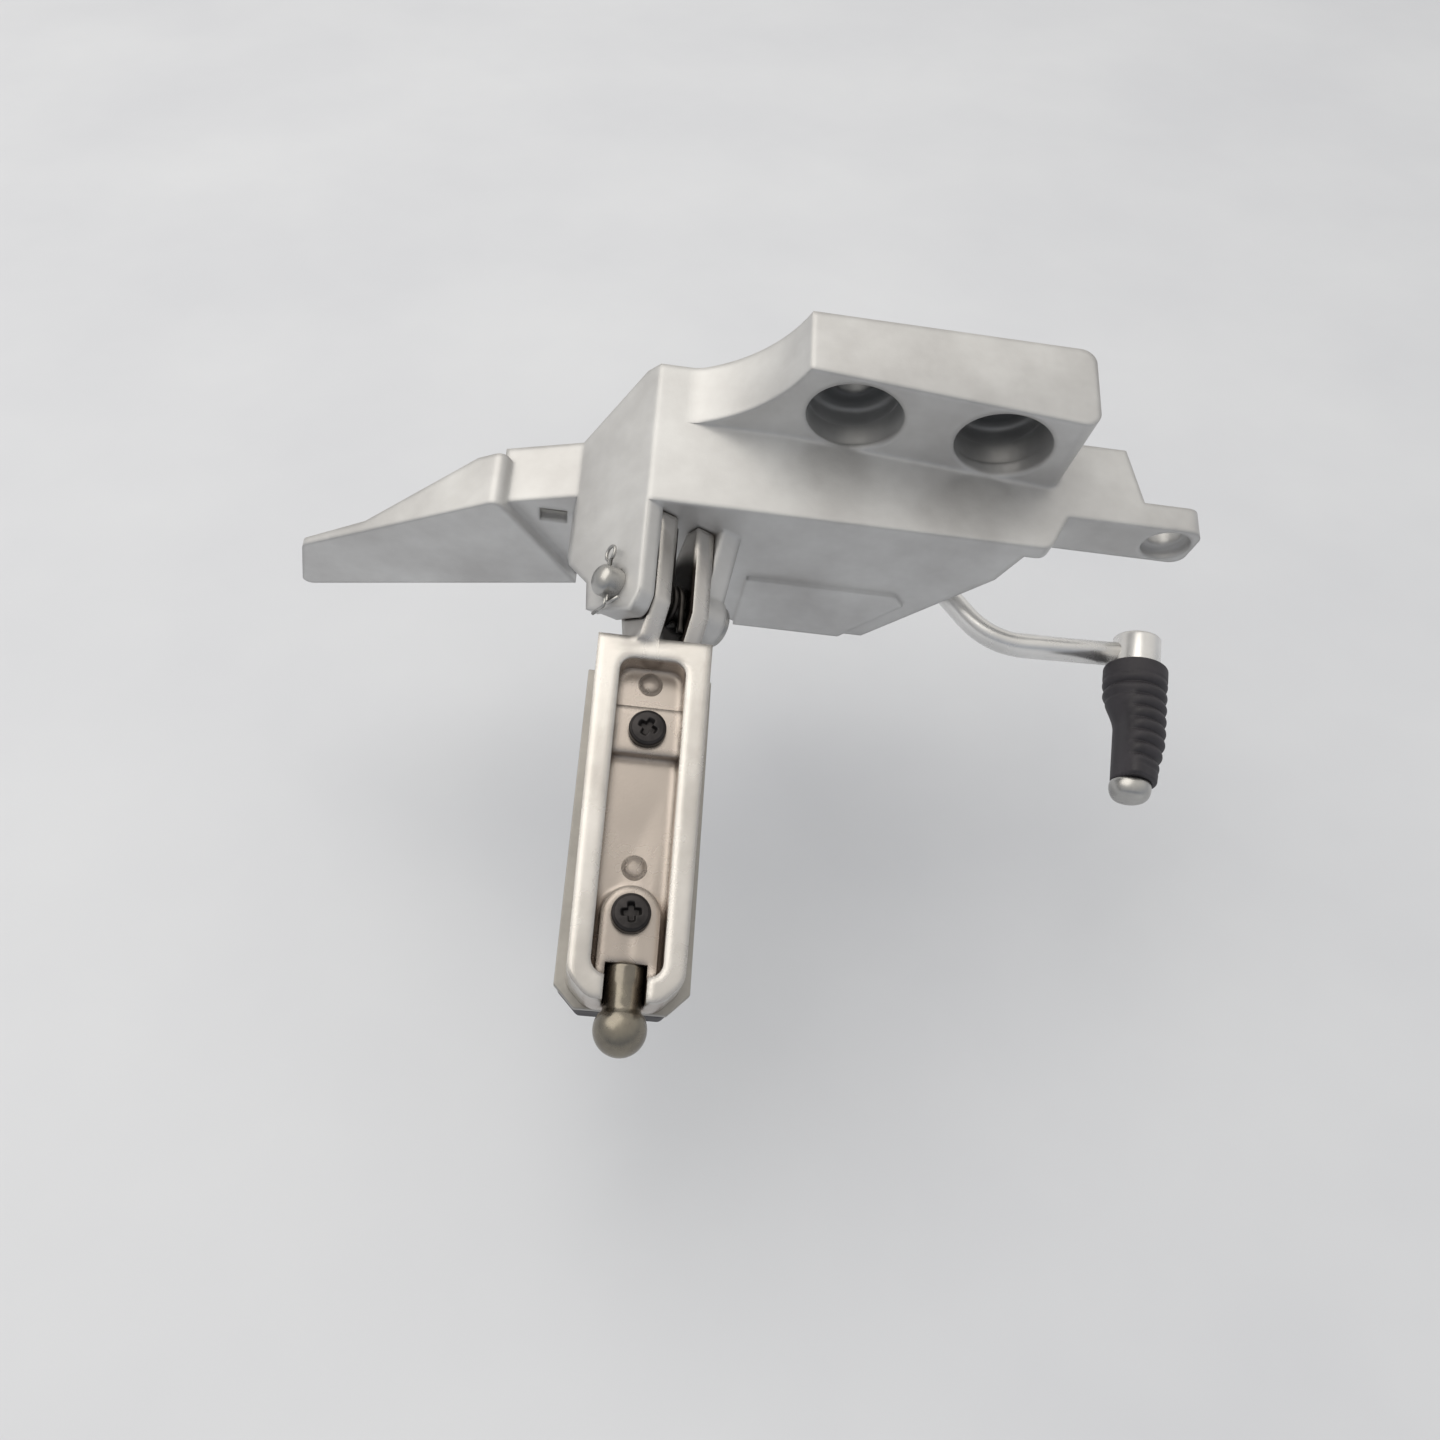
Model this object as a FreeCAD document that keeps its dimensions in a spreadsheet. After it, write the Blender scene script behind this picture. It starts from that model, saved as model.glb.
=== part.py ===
import FreeCAD, Part
import os
import re
import Sketcher

# Left-hand footrest hanger of a motorcycle, in the frame that it has on the machine.
# X points rearward, Y inboard and Z up. The origin is midway between the two frame bolts,
# on the mounting face. All sizes are in millimetres and degrees.

doc = FreeCAD.newDocument("footrest_hanger")
sheet = doc.addObject("Spreadsheet::Sheet", "size")

SIZES = {
    # frame bolts and the rail that takes them
    "bolt_pitch": 38.0,
    "bolt_hole": 10.5,
    "seat_dia": 24.0,
    "seat_floor": 6.0,
    "socket_dia": 24.6,
    "socket_floor": 9.0,
    "socket_tilt": 9.5,
    "rail_depth": 17.6,
    "rail_flare": 5.9,
    "rail_corner": 4.0,
    "rail_drop": 16.0,
    "rail_front": 39.0,
    "rail_rear": 33.0,
    "ramp_span": 25.0,
    "ramp_radius": 45.0,
    "ramp_blend": 10.0,
    # outer plate and bottom flange
    "outer_face": 42.0,
    "plate_wall": 4.0,
    "flange_wall": 5.0,
    "flange_front": 35.5,
    "plate_top": 68.0,
    "plate_top_rear": 38.5,
    "plate_top_front": 0.5,
    "plate_nose_x": 26.7,
    "plate_nose_z": 28.6,
    "panel_raise": 1.2,
    "panel_foot": 42.0,
    "panel_front": 3.0,
    "panel_bevel": 3.3,
    "panel_edge": 7.0,
    "rib_wall": 4.0,
    "rib_top": 32.0,
    # footrest hinge
    "tilt": 30.0,
    "pivot_x": 61.0,
    "pivot_out": 63.0,
    "pivot_z": 25.65,
    "pin_dia": 8.0,
    "pin_fit": 0.05,
    "lug_gap": 17.75,
    "lug_rear": 4.5,
    "lug_front": 6.0,
    "lug_radius": 9.4,
    "lug_small": 8.0,
    "lug_round": 3.5,
    "edge_round": 2.0,
    "wall_reach": 24.5,
    "wall_flare": 5.5,
    "web_x": 86.0,
    "web_z": 32.0,
    "pin_tail": 7.3,
    "pin_dome": 2.5,
    "pin_head": 2.0,
    "pin_head_dia": 11.0,
    "split_wire": 1.6,
    "split_hole": 2.0,
    "split_out": 3.5,
    "split_eye": 5.0,
    "split_leg": 6.0,
    # neck and rear wing
    "neck_face": 30.0,
    "neck_back": 12.5,
    "neck_foot": 30.5,
    "step_x": 107.0,
    "step_z": 34.5,
    "step_round": 2.5,
    "neck_step": 5.0,
    "wing_face": 33.0,
    "wing_back": 17.0,
    "wing_tip_x": 163.0,
    "wing_tip_foot": 69.5,
    "wing_tip_top": 92.0,
    "wing_tip_wall": 2.2,
    "wing_thin": 18.5,
    "wing_tip_rake": 3.5,
    "wing_root_x": 85.0,
    "wing_root_top": 72.5,
    "wing_wall": 3.5,
    "slot_x": 88.5,
    "slot_z": 39.5,
    "slot_long": 7.5,
    "slot_high": 6.0,
    # front tab and its ear
    "tab_face": 31.5,
    "tab_back": 8.0,
    "tab_reach": 62.0,
    "tab_web": 15.0,
    "ear_x": 70.5,
    "ear_radius": 7.5,
    "ear_wall": 7.5,
    "ear_hole": 8.5,
    "ear_counterbore": 13.0,
    "ear_counterbore_deep": 3.0,
    # folding footrest
    "rib_gap": 6.1,
    "hinge_side": 0.5,
    "heel_gap": 0.4,
    "heel_rise": 3.0,
    "peg_x": 62.5,
    "peg_root": 75.5,
    "peg_long": 88.0,
    "peg_wide": 28.0,
    "peg_end_wide": 26.0,
    "peg_corner": 5.0,
    "peg_foot": 20.0,
    "peg_high": 13.0,
    "trough_wide": 16.0,
    "trough_deep": 7.0,
    "trough_inset": 5.5,
    "trough_corner": 3.5,
    "pad_first": 23.0,
    "pad_last": 20.0,
    "pad_rise": 3.5,
    "pad_long": 12.0,
    "tongue_wide": 13.5,
    "screw_dia": 5.0,
    "screw_head": 9.0,
    "screw_head_high": 2.6,
    "screw_fit": 0.2,
    "feeler_neck": 8.5,
    "feeler_ball": 12.0,
    "feeler_side": 0.5,
    "feeler_rise": 7.0,
    "feeler_inset": 9.0,
    "feeler_reach": 5.0,
    "feeler_screw": 5.0,
    "feeler_fit": 0.05,
    "feeler_thread": 7.0,
    "tread_wall": 2.0,
    "tread_wide": 31.0,
    "tread_start": 4.0,
    "rubber_high": 7.0,
    "rubber_wide": 29.0,
    "rubber_groove": 2.5,
    "rubber_pitch": 7.5,
    "rubber_lines": 9.0,
    # return spring
    "spring_wire": 1.6,
    "spring_side": 0.4,
    "spring_turns": 2.0,
    # gear lever
    "lever_x": 12.0,
    "lever_z": 58.0,
    "hub_dia": 20.0,
    "hub_long": 14.0,
    "hub_side": 0.3,
    "boss_dia": 18.0,
    "boss_high": 4.0,
    "bush_wall": 1.5,
    "shoulder_dia": 10.0,
    "bush_fit": 0.05,
    "seal_wire": 1.4,
    "washer_wall": 1.5,
    "bolt_head_high": 5.0,
    "bolt_head_dia": 16.0,
    "bolt_thread": 8.0,
    "bolt_key": 6.0,
    "arm_high": 7.0,
    "arm_wall": 5.0,
    "arm_first": 27.5,
    "arm_second": 45.0,
    "arm_set": 2.5,
    "toe_x": 72.0,
    "toe_out": 52.0,
    "toe_z": 43.0,
    "toe_boss_dia": 13.0,
    "toe_boss_long": 9.0,
    "toe_sweep": 6.7,
    "toe_stem_dia": 7.0,
    "toe_pin_dia": 9.0,
    "toe_rubber_long": 34.0,
    "toe_rubber_dia": 17.5,
    "toe_rib": 1.2,
    "toe_waist": 2.6,
    "toe_ribs": 9.0,
    "toe_end_dia": 11.0,
    "toe_end_long": 5.0,
    "link_x": 10.0,
    "link_z": 24.0,
    "link_hole": 6.2,
    "link_eye": 14.0,
    "link_wall": 6.0,
}
for row, (alias, value) in enumerate(SIZES.items(), start=1):
    sheet.set("A%d" % row, alias)
    sheet.set("B%d" % row, str(value))
    sheet.setAlias("B%d" % row, alias)
doc.recompute()


# Shared ways of drawing

def bound(text):
    """Give an expression with the sheet's name before each size in it."""
    return re.sub(r"[a-z]\w*", lambda word: "size." + word[0] if word[0] in SIZES else word[0], text)


def number(text):
    """Give the present value of an expression of sizes."""
    return float(sheet.evalExpression(bound(text)))


def bind(item, **properties):
    """Tie an object's properties to expressions; a double underscore stands for a dot."""
    for name, text in properties.items():
        item.setExpression(name.replace("__", "."), bound(text))


def new_body(label):
    body = doc.addObject("PartDesign::Body", label)
    body.Label = label
    return body


def new_sketch(body, name, plane, offset="0"):
    """Start a sketch on one of the body's origin planes, moved along the plane's normal."""
    sketch = body.newObject("Sketcher::SketchObject", name)
    support = next(item for item in body.Origin.OriginFeatures if item.Role == plane)
    sketch.AttachmentSupport = [(support, "")]
    sketch.MapMode = "FlatFace"
    bind(sketch, AttachmentOffset__Base__z=offset)
    return sketch


def hinge_sketch(body, name, along):
    """Start a sketch square to the hinge pin; x points down across the pin, y inboard."""
    sketch = new_sketch(body, name, "XY_Plane")
    turn = FreeCAD.Rotation(FreeCAD.Vector(0, 1, 0), 90)
    sketch.AttachmentOffset = FreeCAD.Placement(FreeCAD.Vector(), turn)
    bind(sketch,
         AttachmentOffset__Base__x="pivot_x + (%s) * cos(tilt)" % along,
         AttachmentOffset__Base__y="-pivot_out",
         AttachmentOffset__Base__z="pivot_z - (%s) * sin(tilt)" % along,
         AttachmentOffset__Rotation__Angle="90 + tilt")
    return sketch


def fix(sketch, geometry, point, x, y):
    """Hold a point of a sketch at two bound distances from the sketch's origin."""
    for kind, text in (("DistanceX", x), ("DistanceY", y)):
        place = sketch.addConstraint(Sketcher.Constraint(kind, -1, 1, geometry, point, number(text)))
        bind(sketch, **{"Constraints[%d]" % place: text})


def polygon(sketch, corners, closed=True):
    """Draw straight lines through corners that are pairs of expressions."""
    spots = [FreeCAD.Vector(number(x), number(y), 0) for x, y in corners]
    ends = spots[1:] + spots[:1] if closed else spots[1:]
    lines = [sketch.addGeometry(Part.LineSegment(a, b)) for a, b in zip(spots, ends)]
    for line, after in zip(lines, lines[1:] + lines[:1] if closed else lines[1:]):
        sketch.addConstraint(Sketcher.Constraint("Coincident", line, 2, after, 1))
    for line, (x, y) in zip(lines, corners):
        fix(sketch, line, 1, x, y)
    if not closed:
        fix(sketch, lines[-1], 2, *corners[-1])


def circle(sketch, x, y, diameter):
    """Draw a circle by its centre and diameter."""
    centre = FreeCAD.Vector(number(x), number(y), 0)
    ring = sketch.addGeometry(Part.Circle(centre, FreeCAD.Vector(0, 0, 1), number(diameter) / 2))
    fix(sketch, ring, 3, x, y)
    place = sketch.addConstraint(Sketcher.Constraint("Diameter", ring, number(diameter)))
    bind(sketch, **{"Constraints[%d]" % place: diameter})


def pad(body, sketch, length, back=False, middle=False):
    feature = body.newObject("PartDesign::Pad", sketch.Name + "_pad")
    feature.Profile = sketch
    feature.Reversed = back
    feature.Midplane = middle
    bind(feature, Length=length)
    return feature


def pocket(body, sketch, length, back=False, middle=False):
    feature = body.newObject("PartDesign::Pocket", sketch.Name + "_pocket")
    feature.Profile = sketch
    feature.Reversed = back
    feature.Midplane = middle
    bind(feature, Length=length)
    return feature


def turned(body, sketch):
    """Turn a half profile, drawn on the XZ plane, about the body's own Z axis."""
    feature = body.newObject("PartDesign::Revolution", sketch.Name + "_turned")
    feature.Profile = sketch
    feature.ReferenceAxis = (sketch, ["V_Axis"])
    feature.Angle = 360
    return feature


def soften(body, before, name, radius, picks):
    """Round those edges of a feature that a test picks out."""
    doc.recompute()
    chosen = ["Edge%d" % place for place, edge in enumerate(before.Shape.Edges, start=1) if picks(edge)]
    feature = body.newObject("PartDesign::Fillet", name)
    feature.Base = (before, chosen)
    bind(feature, Radius=radius)
    doc.recompute()
    return feature


def runs(direction, inside):
    """Make a test for straight edges along a direction, whose middle point lies inside."""
    def picks(edge):
        if edge.Curve.TypeId != "Part::GeomLine":
            return False
        middle = edge.CenterOfMass
        return abs(edge.Curve.Direction * direction) > 0.999 and inside(middle.x, middle.y, middle.z)
    return picks


def place_on_hinge(item):
    """Lay an object's own Z axis along the hinge pin, from the middle of the clevis."""
    turn = FreeCAD.Rotation(FreeCAD.Vector(0, 1, 0), 90)
    item.Placement = FreeCAD.Placement(FreeCAD.Vector(), turn)
    bind(item, Placement__Base__x="pivot_x", Placement__Base__y="-pivot_out",
         Placement__Base__z="pivot_z", Placement__Rotation__Angle="90 + tilt")


def place_along_y(item, x, y, z):
    """Lay an object's own Z axis along +Y, inboard, from a given point."""
    turn = FreeCAD.Rotation(FreeCAD.Vector(1, 0, 0), -90)
    item.Placement = FreeCAD.Placement(FreeCAD.Vector(), turn)
    bind(item, Placement__Base__x=x, Placement__Base__y=y, Placement__Base__z=z)


# Directions and places that several pieces share
ALONG_Y = FreeCAD.Vector(0, 1, 0)
ALONG_Z = FreeCAD.Vector(0, 0, 1)
ALONG_PIN = FreeCAD.Rotation(ALONG_Y, number("tilt")).multVec(FreeCAD.Vector(1, 0, 0))
LUG_OUT = "(lug_gap / 2 + lug_rear)"
FLANGE_Z = "(pivot_z - %s * sin(tilt) - lug_radius * cos(tilt))" % LUG_OUT
FLANGE_REAR = "(pivot_x + %s * cos(tilt) - lug_radius * sin(tilt))" % LUG_OUT
WALL_TOP_X = "(pivot_x + %s * cos(tilt) + wall_reach * sin(tilt))" % LUG_OUT
WALL_TOP_Z = "(pivot_z - %s * sin(tilt) + wall_reach * cos(tilt))" % LUG_OUT
RAIL_HIGH = "(rail_drop + %s)" % FLANGE_Z
RAMP_CHORD = "sqrt(ramp_span ^ 2 + %s ^ 2)" % RAIL_HIGH
RAMP_BULGE = "sqrt(ramp_radius ^ 2 - %s ^ 2 / 4)" % RAMP_CHORD
PEG_END = "(peg_root + peg_long)"
FIRST_SCREW = "-peg_root - pad_first"
LAST_SCREW = "-%s + pad_last" % PEG_END
PAD_Z = "(peg_foot + trough_deep - pad_rise)"
PEG_TOP = "(peg_foot + peg_high)"
BOSS_FACE = "(outer_face - plate_wall - boss_high)"
HUB_START = "(outer_face - plate_wall - boss_high - hub_side)"


# Hanger: one aluminium die casting, open on its inboard side
casting = new_body("hanger_casting")

rail = new_sketch(casting, "rail", "XY_Plane", "-rail_drop")
polygon(rail, [("-rail_front", "0"), ("rail_rear", "0"), ("rail_rear", "-rail_depth"),
               ("-rail_front", "-rail_depth - rail_flare")])
rail_pad = pad(casting, rail, RAIL_HIGH + " + flange_wall")
soften(casting, rail_pad, "rail_ends", "rail_corner",
       runs(ALONG_Z, lambda x, y, z: x < 1 - number("rail_front")))

ramp = new_sketch(casting, "ramp", "XZ_Plane")
polygon(ramp, [("rail_rear", "-rail_drop"), ("rail_rear + ramp_span", "-rail_drop"),
               ("rail_rear + ramp_span", FLANGE_Z + " + flange_wall"),
               ("rail_rear", FLANGE_Z + " + flange_wall")])
pad(casting, ramp, "rail_depth")
doc.recompute()

ramp_hollow = new_sketch(casting, "ramp_hollow", "XZ_Plane")
circle(ramp_hollow, "rail_rear + ramp_span / 2 + %s * %s / %s" % (RAMP_BULGE, RAIL_HIGH, RAMP_CHORD),
       "-rail_drop + %s / 2 - %s * ramp_span / %s" % (RAIL_HIGH, RAMP_BULGE, RAMP_CHORD), "2 * ramp_radius")
pocket(casting, ramp_hollow, "rail_depth", back=True)

flange = new_sketch(casting, "flange", "XY_Plane", FLANGE_Z)
polygon(flange, [(FLANGE_REAR, "-outer_face"), ("-flange_front", "-outer_face"),
                 ("-flange_front - (outer_face - tab_face) / 2", "-tab_face"),
                 ("-tab_reach", "-tab_face"), ("-tab_reach", "-tab_face + ear_wall"),
                 ("-tab_reach + (tab_face - tab_back) / 6", "-tab_back"), ("-rail_front", "-tab_back"),
                 ("-rail_front", "0"), (FLANGE_REAR, "0")])
flange_pad = pad(casting, flange, "flange_wall")
flange_round = soften(casting, flange_pad, "flange_corner", "rail_corner",
                      runs(ALONG_Z, lambda x, y, z: y < 1 - number("outer_face") and x < 0))
soften(casting, flange_round, "ramp_foot", "ramp_blend",
       runs(ALONG_Y, lambda x, y, z: abs(x - number("rail_rear + ramp_span")) < 0.5
            and abs(z - number(FLANGE_Z)) < 0.5))

plate = new_sketch(casting, "plate", "XZ_Plane", "outer_face")
polygon(plate, [(FLANGE_REAR, FLANGE_Z), ("-flange_front + rail_corner", FLANGE_Z),
                ("-plate_nose_x", "plate_nose_z"),
                ("plate_top_front", "plate_top"), ("plate_top_rear", "plate_top"),
                (WALL_TOP_X, WALL_TOP_Z)])
pad(casting, plate, "plate_wall", back=True)

panel = new_sketch(casting, "panel", "XZ_Plane", "outer_face")
polygon(panel, [("plate_top_rear", "panel_foot"), ("-panel_front", "panel_foot"),
                ("-panel_front - panel_bevel", "panel_foot + panel_bevel * 1.4"),
                ("plate_top_front + panel_edge", "plate_top"), ("plate_top_rear", "plate_top")])
pad(casting, panel, "panel_raise")

wall = hinge_sketch(casting, "rear_wall", "lug_gap / 2")
polygon(wall, [("lug_radius", "pivot_out"), ("lug_radius", "-lug_radius / 2"),
               ("lug_radius * 0.7", "-lug_radius"),
               ("-lug_radius", "-lug_radius * 0.42"), ("-lug_radius * 1.1", "lug_radius * 0.42"),
               ("-wall_reach", "2 * lug_radius"), ("-wall_reach - wall_flare", "pivot_out")])
wall_pad = pad(casting, wall, "lug_rear")
lug_end = soften(casting, wall_pad, "lug_end", "lug_round",
                 runs(ALONG_PIN, lambda x, y, z: y < number("lug_radius / 2 - pivot_out")))

web = new_sketch(casting, "rear_web", "XZ_Plane")
polygon(web, [(FLANGE_REAR, FLANGE_Z), ("web_x", "web_z"), ("web_x + 1", "web_z + 2 * lug_rear"),
              (WALL_TOP_X, WALL_TOP_Z)])
web_pad = pad(casting, web, "pivot_out + lug_radius")
soften(casting, web_pad, "web_edge", "edge_round",
       runs(ALONG_Y, lambda x, y, z: abs(x - number("web_x")) < 0.5 and abs(z - number("web_z")) < 0.5))

# The web is trimmed to the lug's outline, and its inboard corner slants towards the neck
lug_trim = hinge_sketch(casting, "lug_trim", LUG_OUT + " + 2 * lug_radius")
polygon(lug_trim, [("2 * lug_radius", "-lug_radius / 2"), ("lug_radius", "-lug_radius / 2"),
                   ("lug_radius * 0.7", "-lug_radius"), ("-lug_radius", "-lug_radius * 0.42"),
                   ("-lug_radius * 1.1", "lug_radius * 0.42"), ("-wall_reach", "2 * lug_radius"),
                   ("-3 * wall_reach", "2 * lug_radius"), ("-3 * wall_reach", "-3 * lug_radius"),
                   ("2 * lug_radius", "-3 * lug_radius")])
pocket(casting, lug_trim, "2 * lug_radius")
doc.recompute()

corner = new_sketch(casting, "wall_corner", "XY_Plane")
polygon(corner, [(FLANGE_REAR + " + edge_round", "edge_round / 2"), ("web_x + neck_back", "edge_round / 2"),
                 ("web_x + neck_back", "-neck_back"), ("web_x", "-neck_back")])
pocket(casting, corner, "4 * plate_top", middle=True)
doc.recompute()

front_lug = hinge_sketch(casting, "front_lug", "-lug_gap / 2 - lug_front")
polygon(front_lug, [("lug_small * 0.2", "-lug_small * 0.8"),
                    ("lug_radius + lug_rear / 2", "pivot_out - outer_face + plate_wall / 2"),
                    ("-lug_small", "pivot_out - outer_face + plate_wall / 2"), ("-lug_small * 0.8", "0")])
pad(casting, front_lug, "lug_front")

front_eye = hinge_sketch(casting, "front_eye", "-lug_gap / 2 - lug_front")
circle(front_eye, "0", "0", "lug_small * 1.65")
pad(casting, front_eye, "lug_front")

# The neck and the wing are shells, hollowed from the inboard side
neck = new_sketch(casting, "neck", "XZ_Plane", "neck_face")
polygon(neck, [("web_x - lug_rear", "neck_foot"), ("step_x", "step_z + neck_step"),
               ("wing_root_x", "wing_root_top"), (WALL_TOP_X + " - lug_rear", WALL_TOP_Z + " + lug_rear")])
pad(casting, neck, "neck_face - neck_back", back=True)

wing = new_sketch(casting, "wing", "XZ_Plane", "wing_face")
polygon(wing, [("step_x", "step_z"), ("wing_tip_x", "wing_tip_foot"),
               ("wing_tip_x + wing_tip_rake", "wing_tip_top"), ("wing_root_x", "wing_root_top")])
wing_pad = pad(casting, wing, "wing_face - wing_back", back=True)
soften(casting, wing_pad, "wing_edges", "step_round",
       runs(ALONG_Y, lambda x, y, z: z < number("step_z + 1") and x > number("step_x - 1")
            or x > number("wing_tip_x - 1")))
doc.recompute()

taper = new_sketch(casting, "wing_taper", "XY_Plane")
polygon(taper, [("step_x + 2 * wing_wall", "-wing_back"),
                ("wing_tip_x - wing_thin", "-wing_face + wing_wall"),
                ("wing_tip_x + wing_tip_rake", "-wing_face + wing_tip_wall"),
                ("wing_tip_x + 2 * wing_tip_rake", "-wing_face + wing_tip_wall"),
                ("wing_tip_x + 2 * wing_tip_rake", "-wing_back"),
                ("step_x + 2 * wing_wall", "-wing_back + wing_wall")])
pocket(casting, taper, "4 * wing_tip_top", middle=True)

neck_hollow = new_sketch(casting, "neck_hollow", "XZ_Plane", "neck_back")
polygon(neck_hollow, [(WALL_TOP_X + " + wing_wall", "neck_foot + 2 * wing_wall"),
                      ("step_x - 2 * wing_wall", "step_z + 2 * wing_wall"),
                      ("wing_root_x", "wing_root_top - 3 * wing_wall"),
                      (WALL_TOP_X + " + wing_wall", WALL_TOP_Z + " + 3 * wing_wall")])
pocket(casting, neck_hollow, "neck_face - wing_wall - neck_back", back=True)

WING_RISE = "((wing_tip_foot - step_z) / (wing_tip_x - step_x))"
WING_FALL = "((wing_tip_top - wing_root_top) / (wing_tip_x - wing_root_x))"
wing_hollow = new_sketch(casting, "wing_hollow", "XZ_Plane", "neck_back")
polygon(wing_hollow, [("step_x + wing_wall", "step_z + 2.5 * wing_wall"),
                      ("wing_tip_x - 5 * wing_wall",
                       "wing_tip_foot - %s * 5 * wing_wall + wing_wall * 1.5" % WING_RISE),
                      ("wing_tip_x - 5 * wing_wall",
                       "wing_tip_top - %s * 5 * wing_wall - 1.5 * wing_wall" % WING_FALL),
                      ("wing_root_x + 3 * wing_wall", "wing_root_top - wing_wall")])
pocket(casting, wing_hollow, "wing_face - wing_wall - neck_back", back=True)

slot = new_sketch(casting, "neck_slot", "XZ_Plane", "neck_face")
polygon(slot, [("slot_x", "slot_z"), ("slot_x + slot_long", "slot_z"),
               ("slot_x + slot_long", "slot_z + slot_high"), ("slot_x", "slot_z + slot_high")])
pocket(casting, slot, "2 * wing_wall")

# Front tab: a web in line with an ear
EAR_Z = "(%s + ear_radius)" % FLANGE_Z
tab = new_sketch(casting, "tab_web", "XZ_Plane", "tab_face")
polygon(tab, [("-flange_front", FLANGE_Z), ("-ear_x", FLANGE_Z), ("-ear_x", FLANGE_Z + " + 2 * ear_radius"),
              ("-flange_front", FLANGE_Z + " + tab_web")])
pad(casting, tab, "ear_wall", back=True)

ear = new_sketch(casting, "ear", "XZ_Plane", "tab_face")
polygon(ear, [("-tab_reach", FLANGE_Z), ("-ear_x - ear_radius", FLANGE_Z),
              ("-ear_x - ear_radius", FLANGE_Z + " + 2 * ear_radius"),
              ("-tab_reach", FLANGE_Z + " + 2 * ear_radius")])
ear_pad = pad(casting, ear, "ear_wall", back=True)
soften(casting, ear_pad, "ear_corners", "ear_radius / 2",
       runs(ALONG_Y, lambda x, y, z: x < number("1 - ear_x - ear_radius")))

# Gussets between the plate, the flange and the rail, and the boss that takes the lever's bolt
for name, place in (("front_gusset", "-bolt_pitch / 2"), ("rear_gusset", "bolt_pitch")):
    gusset = new_sketch(casting, name, "YZ_Plane", place)
    polygon(gusset, [("-outer_face + plate_wall / 2", FLANGE_Z + " + flange_wall / 2"),
                     ("-rail_depth / 2", FLANGE_Z + " + flange_wall / 2"),
                     ("-rail_depth / 2", FLANGE_Z + " + flange_wall"),
                     ("-outer_face + plate_wall / 2", "rib_top")])
    pad(casting, gusset, "rib_wall", middle=True)

boss = new_sketch(casting, "lever_boss", "XZ_Plane", "outer_face - plate_wall / 2")
circle(boss, "lever_x", "lever_z", "boss_dia")
pad(casting, boss, "boss_high + plate_wall / 2", back=True)
doc.recompute()

# Holes
boss_hole = new_sketch(casting, "boss_hole", "XZ_Plane", BOSS_FACE)
circle(boss_hole, "lever_x", "lever_z", "bolt_thread")
pocket(casting, boss_hole, "boss_high + plate_wall", back=True)

pin_hole = hinge_sketch(casting, "pin_hole", LUG_OUT + " + lug_radius")
circle(pin_hole, "0", "0", "pin_dia + 2 * pin_fit")
pocket(casting, pin_hole, "lug_radius + lug_rear + lug_gap + lug_front")

ear_hole = new_sketch(casting, "ear_hole", "XZ_Plane", "tab_face")
circle(ear_hole, "-ear_x", EAR_Z, "ear_hole")
pocket(casting, ear_hole, "ear_wall")

ear_sink = new_sketch(casting, "ear_sink", "XZ_Plane", "tab_face")
circle(ear_sink, "-ear_x", EAR_Z, "ear_counterbore")
pocket(casting, ear_sink, "ear_counterbore_deep")

sockets = new_sketch(casting, "sockets", "XZ_Plane")
sockets.AttachmentOffset = FreeCAD.Placement(FreeCAD.Vector(), FreeCAD.Rotation(FreeCAD.Vector(1, 0, 0), 1))
bind(sockets, AttachmentOffset__Base__z="socket_floor", AttachmentOffset__Rotation__Angle="socket_tilt")
circle(sockets, "-bolt_pitch / 2", "0", "socket_dia")
circle(sockets, "bolt_pitch / 2", "0", "socket_dia")
pocket(casting, sockets, "outer_face", back=True)

seats = new_sketch(casting, "bolt_seats", "XZ_Plane", "rail_depth")
circle(seats, "-bolt_pitch / 2", "0", "seat_dia")
circle(seats, "bolt_pitch / 2", "0", "seat_dia")
pocket(casting, seats, "rail_depth - seat_floor")

bolt_holes = new_sketch(casting, "bolt_holes", "XZ_Plane", "rail_depth")
circle(bolt_holes, "-bolt_pitch / 2", "0", "bolt_hole")
circle(bolt_holes, "bolt_pitch / 2", "0", "bolt_hole")
pocket(casting, bolt_holes, "rail_depth")
doc.recompute()


# Clevis pin, headed at the front and domed at the rear, drilled for its split pin
SPLIT_Z = "(%s + split_out)" % LUG_OUT
PIN_END = "(%s + pin_tail)" % LUG_OUT
pin = new_body("pivot_pin")
pin_half = new_sketch(pin, "pin_half", "XZ_Plane")
polygon(pin_half, [("0", "-lug_gap / 2 - lug_front - pin_head"),
                   ("pin_head_dia / 2", "-lug_gap / 2 - lug_front - pin_head"),
                   ("pin_head_dia / 2", "-lug_gap / 2 - lug_front"),
                   ("pin_dia / 2", "-lug_gap / 2 - lug_front"),
                   ("pin_dia / 2", PIN_END + " - pin_dome"), ("pin_dia * 0.43", PIN_END + " - pin_dome / 2"),
                   ("pin_dia * 0.28", PIN_END + " - pin_dome / 7"), ("pin_dia * 0.1", PIN_END),
                   ("0", PIN_END)])
turned(pin, pin_half)
cross_hole = new_sketch(pin, "cross_hole", "XZ_Plane")
circle(cross_hole, "0", SPLIT_Z, "split_hole")
pocket(pin, cross_hole, "2 * pin_dia", middle=True)
place_on_hinge(pin)


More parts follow.
